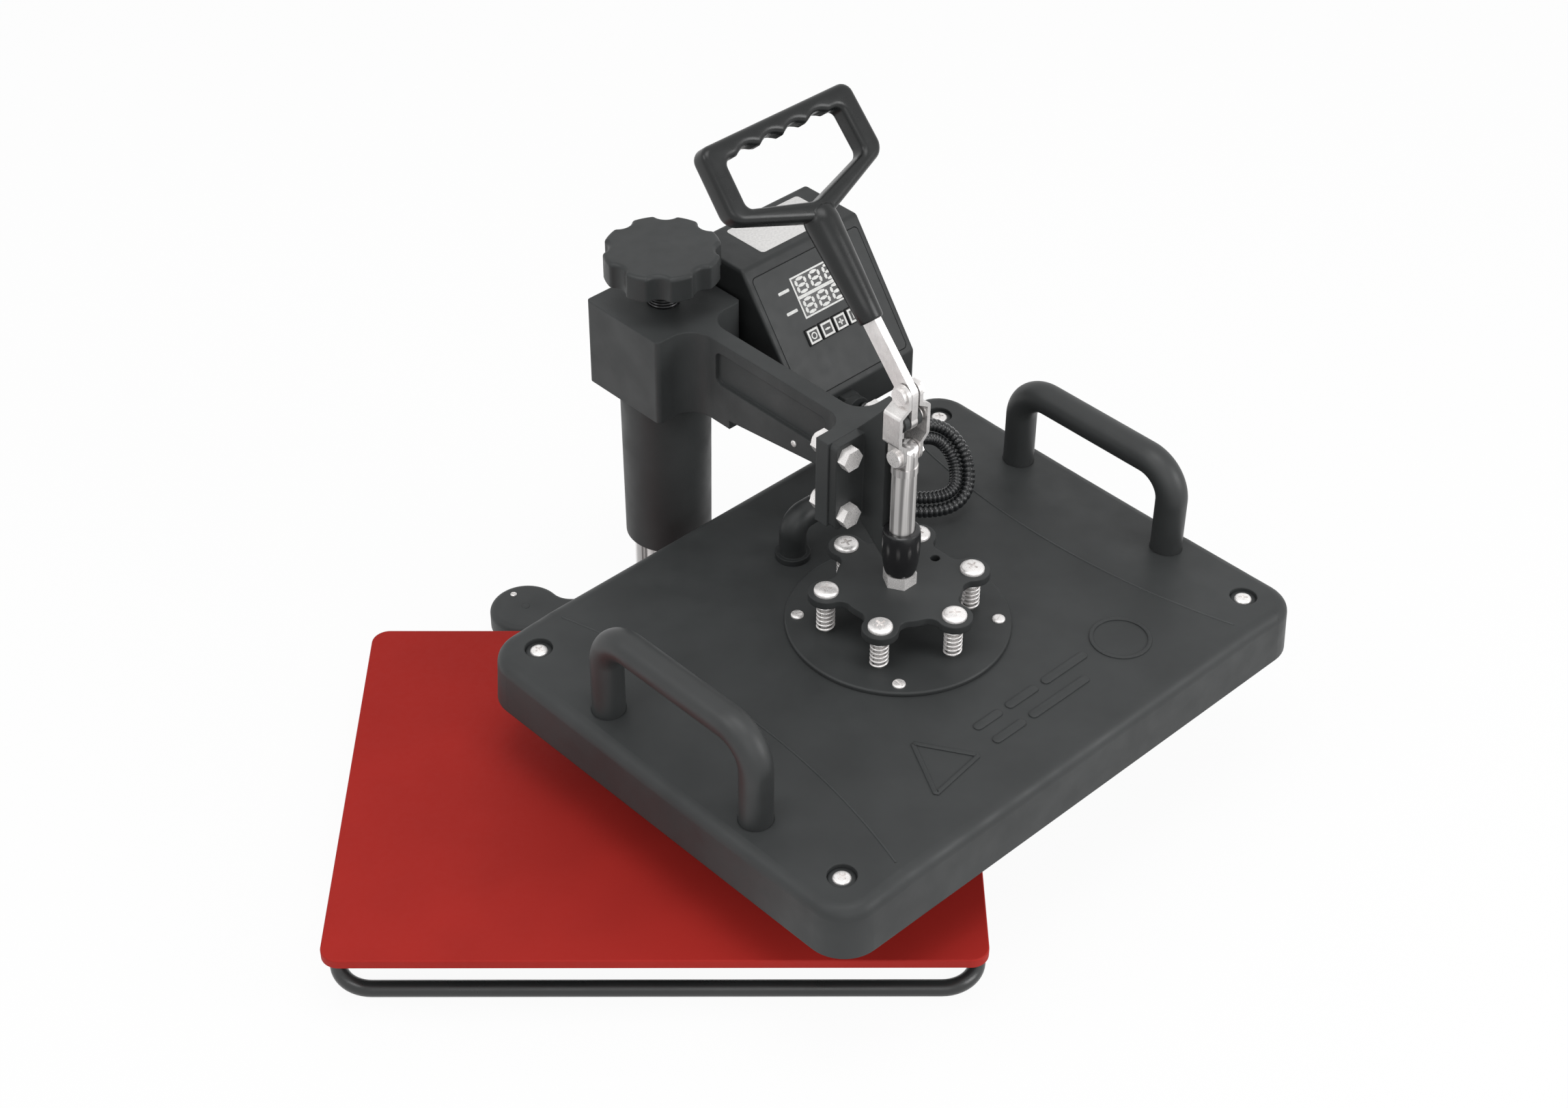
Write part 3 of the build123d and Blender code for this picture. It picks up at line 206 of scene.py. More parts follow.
def powder_coat(name, colour, grain, depth, roughness, specular):
    """Baked powder coat: fine orange peel, a little uneven in tone and gloss."""
    nodes = Nodes(name)
    place = nodes.coordinates()
    nodes.colours(nodes.noise(place, 22.0, 3.0), shade(colour, 0.9), shade(colour, 1.1))
    nodes.link(nodes.spread(nodes.noise(place, 60.0, 4.0), *roughness), nodes.shader.inputs["Roughness"])
    peel = nodes.bump(nodes.noise(place, grain, 1.5), depth, 0.6, nodes.soft_corners(1.3 * MM))
    nodes.bump(nodes.noise(place, grain / 12, 1.0), depth * 2, 0.25, peel)
    nodes.set(Specular_IOR_Level=specular)


def moulded_plastic(name, colour, grain, roughness, strength, clear_coat):
    """Moulded plastic with a fine eroded texture."""
    nodes = Nodes(name)
    place = nodes.coordinates()
    nodes.colours(nodes.noise(place, 35.0, 2.0), shade(colour, 0.92), shade(colour, 1.08))
    nodes.link(nodes.spread(nodes.noise(place, 120.0, 3.0), *roughness), nodes.shader.inputs["Roughness"])
    nodes.bump(nodes.noise(place, grain, 2.0), 0.00003, strength, nodes.soft_corners(0.8 * MM))
    nodes.set(Specular_IOR_Level=0.35)
    nodes.set(Coat_Weight=clear_coat)
    nodes.set(Coat_Roughness=0.2)


def plated_metal(name, colour, stretch, roughness, grain, strength, metallic):
    """Plated or ground steel with fine directional marks."""
    nodes = Nodes(name)
    place = nodes.coordinates(stretch)
    marks = nodes.noise(place, grain, 4.0)
    nodes.colours(nodes.noise(nodes.coordinates(), 90.0, 3.0), shade(colour, 0.86), shade(colour, 1.06))
    nodes.link(nodes.spread(marks, *roughness), nodes.shader.inputs["Roughness"])
    nodes.bump(marks, 0.00002, strength)
    nodes.set(Metallic=metallic)


def ground_rod(name, colour):
    """Hard chrome on a ground rod, with fine light and dark streaks along its length painted into its colour
    as reflections.
    """
    nodes = Nodes(name)
    # Painted reflection: the streaks darken and lighten the colour along the rod, where a polished rod would
    # mirror its surroundings
    painted_reflection_streaks = nodes.noise(nodes.coordinates((1, 1, 0.015)), 330.0, 2.0)
    nodes.colours(painted_reflection_streaks, shade(colour, 0.5), shade(colour, 1.25), 0.44, 0.58)
    nodes.link(nodes.spread(painted_reflection_streaks, 0.14, 0.26), nodes.shader.inputs["Roughness"])
    nodes.bump(nodes.noise(nodes.coordinates((0.2, 0.2, 6)), 500.0, 3.0), 0.00002, 0.1)
    nodes.set(Metallic=0.5)


def silicone_sheet(name, colour):
    """Cast silicone foam: matt, with a faint cloth print in the surface and slow changes of tone."""
    nodes = Nodes(name)
    place = nodes.coordinates()
    nodes.colours(nodes.noise(place, 9.0, 3.0), shade(colour, 0.93), shade(colour, 1.07))
    nodes.link(nodes.spread(nodes.noise(place, 300.0, 3.0), 0.52, 0.66), nodes.shader.inputs["Roughness"])
    cloth = nodes.add("ShaderNodeTexVoronoi", feature="F1")
    cloth.inputs["Scale"].default_value = 1500.0
    nodes.link(place, cloth.inputs["Vector"])
    print_bump = nodes.bump(cloth.outputs["Distance"], 0.00003, 0.3)
    nodes.bump(nodes.noise(place, 420.0, 3.0), 0.00006, 0.3, print_bump)
    nodes.set(Specular_IOR_Level=0.12)


def screw_thread(name, colour, pitch):
    """Black oxide steel with a thread pressed in by its bump."""
    nodes = Nodes(name)
    place = nodes.coordinates()
    wave = nodes.add("ShaderNodeTexWave", wave_type="BANDS", bands_direction="Z", wave_profile="TRI")
    wave.inputs["Scale"].default_value = pi / (10 * pitch)
    nodes.link(place, wave.inputs["Vector"])
    nodes.colours(nodes.noise(place, 300.0, 3.0), shade(colour, 0.7), shade(colour, 1.2))
    nodes.bump(wave.outputs["Fac"], pitch * 0.4, 1.0)
    nodes.link(nodes.spread(nodes.noise(place, 500.0), 0.3, 0.45), nodes.shader.inputs["Roughness"])
    nodes.set(Metallic=0.8)


def printed(name, colour, roughness=0.5):
    """Printed or painted marks, slightly uneven."""
    nodes = Nodes(name)
    place = nodes.coordinates()
    nodes.colours(nodes.noise(place, 700.0, 3.0), shade(colour, 0.88), shade(colour, 1.05))
    nodes.bump(nodes.noise(place, 3000.0, 2.0), 0.00002, 0.3)
    nodes.set(Roughness=roughness)


# Modelling helpers

def finish_piece(bm, name, finish, body, corner=35.0):
    """Write a mesh, mark its corners sharp, and hang it on its body."""
    bmesh.ops.remove_doubles(bm, verts=bm.verts, dist=SAME_PLACE)
    bmesh.ops.recalc_face_normals(bm, faces=bm.faces)
    for face in bm.faces:
        face.smooth = True
    for edge in bm.edges:
        edge.smooth = len(edge.link_faces) == 2 and edge.calc_face_angle(0.0) < radians(corner)
    mesh = bpy.data.meshes.new(name)
    bm.to_mesh(mesh)
    bm.free()
    mesh.materials.append(finish)
    piece = bpy.data.objects.new(name, mesh)
    bpy.context.scene.collection.objects.link(piece)
    if body:
        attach(piece, body)
    return piece


def raise_faces(bm, faces, height):
    """Extrude faces straight up, by a height in metres."""
    raised = bmesh.ops.extrude_face_region(bm, geom=faces)
    tops = [v for v in raised["geom"] if isinstance(v, bmesh.types.BMVert)]
    bmesh.ops.translate(bm, verts=tops, vec=(0, 0, height))


def turned_part(profile, steps=32):
    """A turned part on its own Z axis, spun from radius and height pairs in millimetres."""
    bm = bmesh.new()
    verts = [bm.verts.new((radius * MM, 0, height * MM)) for radius, height in profile]
    edges = [bm.edges.new(pair) for pair in zip(verts, verts[1:])]
    bmesh.ops.spin(
        bm, geom=verts + edges, cent=(0, 0, 0), axis=(0, 0, 1), angle=2 * pi, steps=steps, use_merge=True
    )
    bmesh.ops.remove_doubles(bm, verts=bm.verts, dist=SAME_PLACE)
    return bm


def cut_drive(bm, top, width, length, depth, cross=False):
    """Cut a slot or a cross into the top of a screw head."""
    crown_depth, least_up, on_the_cut = 1.6, 0.2, 1e-7
    half, reach = width / 2 * MM, length / 2 * MM
    planes = [((0, side * half, 0), (0, 1, 0)) for side in (-1, 1)]
    planes += [((side * reach, 0, 0), (1, 0, 0)) for side in (-1, 1)]
    if cross:
        planes += [((side * half, 0, 0), (1, 0, 0)) for side in (-1, 1)]
        planes += [((0, side * reach, 0), (0, 1, 0)) for side in (-1, 1)]
    for place, normal in planes:
        geometry = bm.verts[:] + bm.edges[:] + bm.faces[:]
        bmesh.ops.bisect_plane(bm, geom=geometry, dist=on_the_cut, plane_co=place, plane_no=normal)
    chosen = []
    for face in bm.faces:
        middle = face.calc_center_median()
        across, along = abs(middle.x), abs(middle.y)
        inside = (along < half and across < reach) or (cross and across < half and along < reach)
        if inside and middle.z > (top - crown_depth) * MM and face.normal.z > least_up:
            chosen.append(face)
    sunk = bmesh.ops.extrude_face_region(bm, geom=chosen)
    bmesh.ops.delete(bm, geom=chosen, context="FACES_ONLY")
    for vert in sunk["geom"]:
        if isinstance(vert, bmesh.types.BMVert):
            vert.co.z = (top - depth) * MM


def screw(radius, height, drive_width, drive_length, drive_depth, cross=False, shank=None):
    """A domed screw head standing on Z = 0, with an optional shank of a radius and a length below it."""
    dome = [
        (radius, 0),
        (radius, height * 0.35),
        (radius * 0.95, height * 0.62),
        (radius * 0.8, height * 0.84),
        (radius * 0.5, height * 0.96),
        (0, height),
    ]
    foot = [(0, 0)]
    if shank:
        shank_radius, shank_length = shank
        chamfer = 0.4
        foot = [
            (0, -shank_length),
            (shank_radius - chamfer, -shank_length),
            (shank_radius, -shank_length + chamfer),
            (shank_radius, 0),
        ]
    bm = turned_part(foot + dome)
    bmesh.ops.recalc_face_normals(bm, faces=bm.faces)
    cut_drive(bm, height, drive_width, drive_length, drive_depth, cross)
    return bm


def place_copy(bm, source, matrix):
    """Add a moved copy of one bmesh to another."""
    mesh = bpy.data.meshes.new("copy")
    source.to_mesh(mesh)
    mesh.transform(matrix)
    bm.from_mesh(mesh)
    bpy.data.meshes.remove(mesh)


def place_part(bm, part, matrix):
    """Add a part to another bmesh, moved, and free it."""
    place_copy(bm, part, matrix)
    part.free()


def raised_outline(bm, points, width, height, matrix):
    """A raised frame that follows a closed outline, given in millimetres."""
    face = bm.faces.new([bm.verts.new((x * MM, y * MM, 0)) for x, y in points])
    bm.normal_update()
    border = bmesh.ops.inset_region(
        bm, faces=[face], thickness=width * MM, use_boundary=True, use_even_offset=True
    )["faces"]
    bmesh.ops.delete(bm, geom=[face], context="FACES_ONLY")
    raise_faces(bm, border, height * MM)
    bmesh.ops.transform(bm, matrix=matrix, verts=bm.verts)


def raised_plate(width, depth, height, round_off):
    """A low plate with rounded corners and a softened rim, centred on the origin."""
    rim_share = 0.4
    bm = bmesh.new()
    bmesh.ops.create_grid(bm, x_segments=1, y_segments=1, size=0.5)
    bmesh.ops.scale(bm, vec=(width * MM, depth * MM, 1), verts=bm.verts)
    bmesh.ops.bevel(
        bm, geom=bm.verts[:], offset=round_off * MM, segments=4, affect="VERTICES", profile=0.5,
        material=-1,
    )
    raise_faces(bm, bm.faces[:], height * MM)
    rim = [e for e in bm.edges if all(v.co.z > height * MM * 0.5 for v in e.verts) and len(e.link_faces) == 2]
    bmesh.ops.bevel(
        bm, geom=rim, offset=height * MM * rim_share, segments=2, affect="EDGES", profile=0.5, material=-1
    )
    return bm


def paint_nodes(finish, *names):
    """Give CAD nodes their finish."""
    for name in names:
        NODES[name].data.materials.clear()
        NODES[name].data.materials.append(finish)


class PressColours(bpy.types.PropertyGroup):
    silicone: FloatVectorProperty(
        name="Silicone", description="Colour of the pad", default=(0.37, 0.021, 0.016),
        subtype="COLOR", size=3,
    )
    coat: FloatVectorProperty(
        name="Powder coat", description="Colour of the painted castings and sheet metal",
        default=(0.0355, 0.0378, 0.0382), subtype="COLOR", size=3,
    )
    plastic: FloatVectorProperty(
        name="Plastic", description="Colour of the moulded housings and grips",
        default=(0.022, 0.024, 0.0243), subtype="COLOR", size=3,
    )
    conduit: FloatVectorProperty(
        name="Conduit", description="Colour of the ribbed conduits", default=(0.012, 0.013, 0.014),
        subtype="COLOR", size=3,
    )
    steel: FloatVectorProperty(
        name="Plated steel", description="Colour of screws, links and lever bar", default=(0.74, 0.72, 0.71),
        subtype="COLOR", size=3,
    )
    marks: FloatVectorProperty(
        name="Panel marks", description="Colour of the printed frames and digits", default=(0.72, 0.72, 0.70),
        subtype="COLOR", size=3,
    )


class PressSizes(bpy.types.PropertyGroup):
    spring_wire: FloatProperty(
        name="Spring wire", description="Wire diameter of the platen springs", default=1.4 * MM,
        subtype="DISTANCE", unit="LENGTH",
    )
    spring_outer: FloatProperty(
        name="Spring diameter", description="Outside diameter of the platen springs", default=11.5 * MM,
        subtype="DISTANCE", unit="LENGTH",
    )
    spring_turns: IntProperty(
        name="Spring turns", description="Turns of each platen spring", default=7, min=2
    )
    conduit_radius: FloatProperty(
        name="Conduit radius", description="Radius over the conduit ribs", default=4.2 * MM,
        subtype="DISTANCE", unit="LENGTH",
    )
    rib_pitch: FloatProperty(
        name="Rib pitch", description="Distance between the conduit ribs", default=3.0 * MM,
        subtype="DISTANCE", unit="LENGTH",
    )
    emboss_height: FloatProperty(
        name="Emboss height", description="Height of the raised outlines on the platen", default=0.8 * MM,
        subtype="DISTANCE", unit="LENGTH",
    )


def colours():
    return bpy.context.scene.press_colours


def sizes():
    return bpy.context.scene.press_sizes


def material(name):
    return bpy.data.materials[name]


class PRESS_OT_finishes(bpy.types.Operator):
    """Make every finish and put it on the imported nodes"""

    bl_idname = "press.finishes"
    bl_label = "Finishes"

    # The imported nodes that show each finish
    worn_by = {
        "silicone_red": ("silicone_pad",),
        "charcoal_powder_coat": ("lower_plate", "platen_cover", "mounting_disc", "box_bracket"),
        "charcoal_on_casting": ("base_casting", "swing_arm"),
        "black_powder_coat": ("head_bracket", "star_plate"),
        "black_rod_coat": ("front_rod",),
        "matt_grip_coat": ("grab_left", "grab_right"),
        "heater_coat": ("heating_plate",),
        "housing_plastic": ("control_box", "cable_elbow", "conduit_gland"),
        "grip_plastic": ("lever_handle",),
        "knob_plastic": ("height_knob",),
        "panel_film": ("control_panel",),
        "foot_rubber": ("foot_left", "foot_right", "foot_column"),
        "gloss_plastic": ("power_inlet", "power_switch"),
        "conduit_plastic": ("conduit_outer", "conduit_inner"),
        "display_lens": ("display_lenses",),
        "key_cap": ("button_set", "button_minus", "button_plus", "button_start"),
        "zinc_plate": (
            "lever_pin", "link_bolt", "eye_bolt",
            *(f"flange_bolt_{number}" for number in range(1, 5)),
            *(f"shoulder_screw_{number}" for number in range(1, 7)),
        ),
        "bright_spring": ("clamp_nuts", *(f"spring_{number}" for number in range(1, 7))),
        "lever_steel": ("lever_bar", "link_left", "link_right"),
        "bearing_bronze": ("column_bushes", "thrust_pad"),
        "chrome_painted_reflections": ("column_post", "plunger"),
        "threaded_steel": ("height_screw",),
    }

    def execute(self, context):
        tone = colours()
        coat, plastic, steel = tuple(tone.coat), tuple(tone.plastic), tuple(tone.steel)
        coats = (
            ("charcoal_powder_coat", coat, 2600.0, 0.00004, (0.42, 0.56), 0.28),
            ("charcoal_on_casting", shade(coat, 1.2), 1500.0, 0.00008, (0.44, 0.58), 0.28),
            # Painted highlight: a lighter copy of the coat for the crease beads, standing in for the light
            # caught along each fold
            ("crease_painted_highlight", shade(coat, 1.35), 2600.0, 0.00002, (0.42, 0.56), 0.28),
            ("matt_grip_coat", shade(coat, 0.85), 3200.0, 0.00003, (0.4, 0.5), 0.4),
            ("black_powder_coat", shade(coat, 0.95), 2600.0, 0.00004, (0.4, 0.52), 0.28),
            ("black_rod_coat", shade(coat, 0.75), 3000.0, 0.00002, (0.25, 0.36), 0.5),
            ("heater_coat", (0.05, 0.046, 0.04), 900.0, 0.00002, (0.38, 0.5), 0.5),
        )
        for name, colour, grain, depth, roughness, specular in coats:
            powder_coat(name, colour, grain, depth, roughness, specular)
        plastics = (
            ("housing_plastic", shade(plastic, 0.85), 4200.0, (0.42, 0.54), 0.6, 0.0),
            ("grip_plastic", shade(plastic, 0.48), 6500.0, (0.24, 0.34), 0.3, 0.0),
            ("knob_plastic", shade(plastic, 1.1), 5200.0, (0.4, 0.5), 0.5, 0.0),
            ("panel_film", shade(plastic, 0.95), 7000.0, (0.4, 0.48), 0.25, 0.0),
            ("foot_rubber", (0.02, 0.02, 0.02), 2600.0, (0.6, 0.75), 0.7, 0.0),
            ("gloss_plastic", (0.014, 0.014, 0.015), 6000.0, (0.16, 0.24), 0.1, 0.3),
            ("conduit_plastic", tuple(tone.conduit), 5000.0, (0.16, 0.24), 0.15, 0.4),
            ("display_lens", (0.06, 0.06, 0.06), 7000.0, (0.14, 0.2), 0.05, 0.3),
            ("key_cap", (0.05, 0.05, 0.05), 6000.0, (0.4, 0.5), 0.3, 0.0),
        )
        for name, colour, grain, roughness, strength, clear_coat in plastics:
            moulded_plastic(name, colour, grain, roughness, strength, clear_coat)
        metals = (
            ("zinc_plate", shade(steel, 1.2), (1, 1, 1), (0.24, 0.36), 1200.0, 0.25, 0.5),
            ("bright_spring", shade(steel, 1.25), (1, 1, 1), (0.2, 0.3), 1200.0, 0.2, 0.45),
            ("lever_steel", steel, (3, 3, 0.25), (0.24, 0.38), 700.0, 0.25, 0.8),
            ("bearing_bronze", (0.5, 0.33, 0.16), (1, 1, 6), (0.3, 0.45), 700.0, 0.3, 0.8),
        )
        for name, colour, stretch, roughness, grain, strength, metallic in metals:
            plated_metal(name, colour, stretch, roughness, grain, strength, metallic)
        silicone_sheet("silicone_red", tuple(tone.silicone))
        # The plunger and column post get chrome with painted reflections in its colour
        ground_rod("chrome_painted_reflections", shade(steel, 1.05))
        screw_thread("threaded_steel", (0.05, 0.05, 0.052), pitch=2 * MM)
        printed("panel_print", tuple(tone.marks))
        printed("label_film", (0.68, 0.67, 0.66), roughness=0.4)
        for finish, names in self.worn_by.items():
            paint_nodes(material(finish), *names)
        return {"FINISHED"}


class PRESS_OT_suspension(bpy.types.Operator):
    """Model the six shoulder screws with their cross recesses and the six wound springs"""

    bl_idname = "press.suspension"
    bl_label = "Springs and shoulder screws"

    end_gap = 0.3
    wire_sides = 10
    steps_per_turn = 28

    def execute(self, context):
        size = sizes()
        wire, outer, turns = size.spring_wire, size.spring_outer, size.spring_turns
        shank_length = STAR_TOP - PLATEN_TOP - 0.1
        screw_bm = screw(
            radius=7.5, height=3.1, drive_width=1.5, drive_length=7.0, drive_depth=1.5, cross=True,
            shank=(3.0, shank_length),
        )
        low = (DISC_TOP + self.end_gap) * MM
        high = (STAR_BOTTOM - self.end_gap) * MM
        radius = (outer - wire) / 2
        steps = self.steps_per_turn * turns
        rise = (high - low - wire) / steps
        for number in range(6):
            angle = radians(30 + 60 * number)
            across = SUSPENSION_RADIUS * cos(angle)
            forward = ARM_REACH - SUSPENSION_RADIUS * sin(angle)
            bm = bmesh.new()
            turn = Matrix.Rotation(radians(17 + 53 * number), 4, "Z")
            place_copy(bm, screw_bm, head_frame(across, forward, STAR_TOP, turn))
            name = f"cross_screw_{number + 1}"
            piece = finish_piece(bm, name, material("zinc_plate"), "platen")
            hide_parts(f"shoulder_screw_{number + 1}")
            bm = bmesh.new()
            bmesh.ops.create_circle(
                bm, cap_ends=True, segments=self.wire_sides, radius=wire / 2,
                matrix=Matrix.Translation((radius, 0, low + wire / 2)) @ Matrix.Rotation(pi / 2, 4, "X"),
            )
            bmesh.ops.spin(
                bm, geom=bm.verts[:] + bm.edges[:] + bm.faces[:], cent=(0, 0, 0), axis=(0, 0, 1),
                dvec=(0, 0, rise), angle=2 * pi * turns, steps=steps, use_duplicate=False,
            )
            bmesh.ops.transform(bm, matrix=head_frame(across, forward, 0), verts=bm.verts)
            name = f"wound_spring_{number + 1}"
            piece = finish_piece(bm, name, material("bright_spring"), "platen", corner=50.0)
            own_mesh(piece)
            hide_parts(f"spring_{number + 1}")
        screw_bm.free()
        return {"FINISHED"}


class PRESS_OT_lever_handle(bpy.types.Operator):
    """Model the rounded lever handle with its finger hollows"""

    bl_idname = "press.lever_handle"
    bl_label = "Lever handle"

    outer = ((-57.0, LOOP_TOP), (-58.5, 82.5), (0, 61.5), (58.5, 82.5), (57.0, LOOP_TOP))
    inner = ((-44.0, OPENING_TOP), (-45.0, 86.5), (0, 73.6), (45.0, 86.5), (44.0, OPENING_TOP))
    grip_profile = (
        (0, 0), (6.4, 0), (7.1, 0.3), (7.5, 1.2), (8.1, 12), (8.9, 28), (9.7, 46), (10.4, 62), (9.6, 69),
        (6, 72), (0, 72),
    )
    # The long straight edges are longer than this, in metres
    long_edge = 0.05
    edge_cuts = 31

    # The finger hollows, along the top edge of the opening
    hollow_reach = 36.0
    hollow_margin = 0.5
    hollow_length = 18.0
    hollow_depth = 3.4
    hollow_drop = 0.6

    def loop(self, bm, points, corner):
        """A closed outline with rounded corners, as one face."""
        part = bmesh.new()
        part.faces.new([part.verts.new((x * MM, y * MM, 0)) for x, y in points])
        bmesh.ops.bevel(
            part, geom=part.verts[:], offset=corner * MM, segments=6, affect="VERTICES",
            profile=0.5, material=-1,
        )
        place_part(bm, part, Matrix())

    def cut_top_edge(self, bm, height):
        """Cut the long straight edge at a height into short ones."""
        top = [
            e for e in bm.edges
            if e.calc_length() > self.long_edge
            and all(abs(v.co.y - height * MM) < SAME_PLACE for v in e.verts)
        ]
        bmesh.ops.subdivide_edges(bm, edges=top, cuts=self.edge_cuts)

    def execute(self, context):
        lean = radians(LEVER_LEAN)
        along = Vector((0, sin(lean), cos(lean)))
        across = Vector((1, 0, 0))
        out = across.cross(along)
        turn = Matrix((across, along, out)).transposed().to_4x4()
        grip = Vector((0, -ARM_REACH, LEVER_PIVOT_HEIGHT)) + along * GRIP_START
        place = SWING @ Matrix.Translation(grip * MM) @ turn
        bm = bmesh.new()
        self.loop(bm, self.outer, 7.0)
        self.loop(bm, self.inner, 4.0)
        bmesh.ops.delete(bm, geom=bm.faces[:], context="FACES_ONLY")
        self.cut_top_edge(bm, OPENING_TOP)
        self.cut_top_edge(bm, LOOP_TOP)
        bmesh.ops.bridge_loops(bm, edges=bm.edges[:])
        reach = self.hollow_reach + self.hollow_margin
        for vert in bm.verts:
            x = vert.co.x / MM
            if abs(vert.co.y - OPENING_TOP * MM) < SAME_PLACE and abs(x) < reach:
                wave = abs(sin(pi * (x + self.hollow_reach) / self.hollow_length))
                vert.co.y += (self.hollow_depth * wave - self.hollow_drop) * MM
        bmesh.ops.translate(bm, verts=bm.verts, vec=(0, 0, -LOOP_THICKNESS / 2 * MM))
        raise_faces(bm, bm.faces[:], LOOP_THICKNESS * MM)
        bmesh.ops.recalc_face_normals(bm, faces=bm.faces)
        rims = [e for e in bm.edges if len(e.link_faces) == 2 and e.calc_face_angle(0) > radians(60)]
        bmesh.ops.bevel(
            bm, geom=rims, offset=LOOP_ROUND_OFF * MM, segments=6, affect="EDGES", profile=0.5, material=-1,
            clamp_overlap=True,
        )
        grip_bm = turned_part(self.grip_profile, steps=40)
        place_part(bm, grip_bm, Matrix.Rotation(-pi / 2, 4, "X"))
        bmesh.ops.transform(bm, matrix=place, verts=bm.verts)
        name = "rounded_lever_handle"
        piece = finish_piece(bm, name, material("grip_plastic"), "lever", corner=50.0)
        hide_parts("lever_handle")
        return {"FINISHED"}


class PRESS_OT_screws(bpy.types.Operator):
    """Model the small screws of the disc, the platen, the feet and the beam"""

    bl_idname = "press.screws"
    bl_label = "Small screws"

    def execute(self, context):
        self.disc_screws()
        self.corner_screws()
        self.foot_and_beam_screws()
        self.guide_sleeve()
        return {"FINISHED"}

    def disc_screws(self):
        slotted = screw(radius=4.0, height=1.6, drive_width=1.0, drive_length=6.6, drive_depth=0.8)
        bm = bmesh.new()
        for number, angle in enumerate((45, 135, 225, 315)):
            across = DISC_SCREW_RADIUS * cos(radians(angle))
            forward = ARM_REACH + DISC_SCREW_RADIUS * sin(radians(angle))
            turn = Matrix.Rotation(radians(20 + 65 * number), 4, "Z")
            place_copy(bm, slotted, head_frame(across, forward, DISC_TOP - SUNK, turn))
        finish_piece(bm, "disc_screws", material("zinc_plate"), "platen")
        slotted.free()

    def corner_screws(self):
        floor = PLATEN_TOP - COUNTERBORE_DEPTH
        crossed = screw(
            radius=5.4, height=2.8, drive_width=1.3, drive_length=5.6, drive_depth=1.3, cross=True
        )
        washer = turned_part((
            (3.0, -SUNK), (8.2, -SUNK), (8.2, 0.6), (7.6, 1.0), (5.6, 1.0), (3.0, 1.0), (3.0, -SUNK),
        ))
        screws, washers = bmesh.new(), bmesh.new()
        for number, (across, forward) in enumerate(CORNER_SCREWS):
            turn = Matrix.Rotation(radians(10 + 40 * number), 4, "Z")
            place_copy(screws, crossed, head_frame(across, forward, floor - SUNK, turn))
            place_copy(washers, washer, head_frame(across, forward, floor))
        finish_piece(screws, "corner_screws", material("zinc_plate"), "platen")
        finish_piece(washers, "corner_washers", material("black_powder_coat"), "platen")
        washer.free()
        crossed.free()

    def foot_and_beam_screws(self):
        lobe_top = 20.0
        small = screw(
            radius=2.2, height=1.0, drive_width=0.6, drive_length=3.4, drive_depth=0.5, cross=True
        )
        plug = turned_part((
            (0, lobe_top - 1.0), (2.7, lobe_top - 1.0), (2.7, lobe_top + 0.01),
            (2.4, lobe_top + 0.05), (0, lobe_top + 0.05),
        ))
        screws, plugs = bmesh.new(), bmesh.new()
        for side in (-1, 1):
            foot_screw = Vector((side * 106, 4, lobe_top - SUNK)) * MM
            place_copy(screws, small, Matrix.Translation(foot_screw))
            place_copy(plugs, plug, Matrix.Translation(Vector((side * 97, -8, 0)) * MM))
        finish_piece(screws, "foot_screws", material("zinc_plate"), "base")
        finish_piece(plugs, "foot_hole_plugs", material("charcoal_on_casting"), "base")
        bm = bmesh.new()
        sideways = Matrix.Rotation(-pi / 2, 4, "Y")
        place_copy(bm, small, head_frame(-6.0 + SUNK, 123, 220, sideways))
        finish_piece(bm, "beam_screw", material("zinc_plate"), "arm")
        plug.free()
        small.free()

    def guide_sleeve(self):
        """The gloss sleeve over the plunger's guide."""
        bore, top = 8.0, 201.7
        sleeve = turned_part((
            (bore, 170.7), (9.2, 170.5), (9.9, 172.5), (10.8, 178), (11.4, 185), (11.6, 192), (11.4, 198),
            (10.9, 201.2), (10.2, top), (bore, top), (bore, 170.7),
        ), steps=40)
        bm = bmesh.new()
        place_part(bm, sleeve, head_frame(0, ARM_REACH, 0))
        finish_piece(bm, "guide_sleeve", material("gloss_plastic"), "arm")


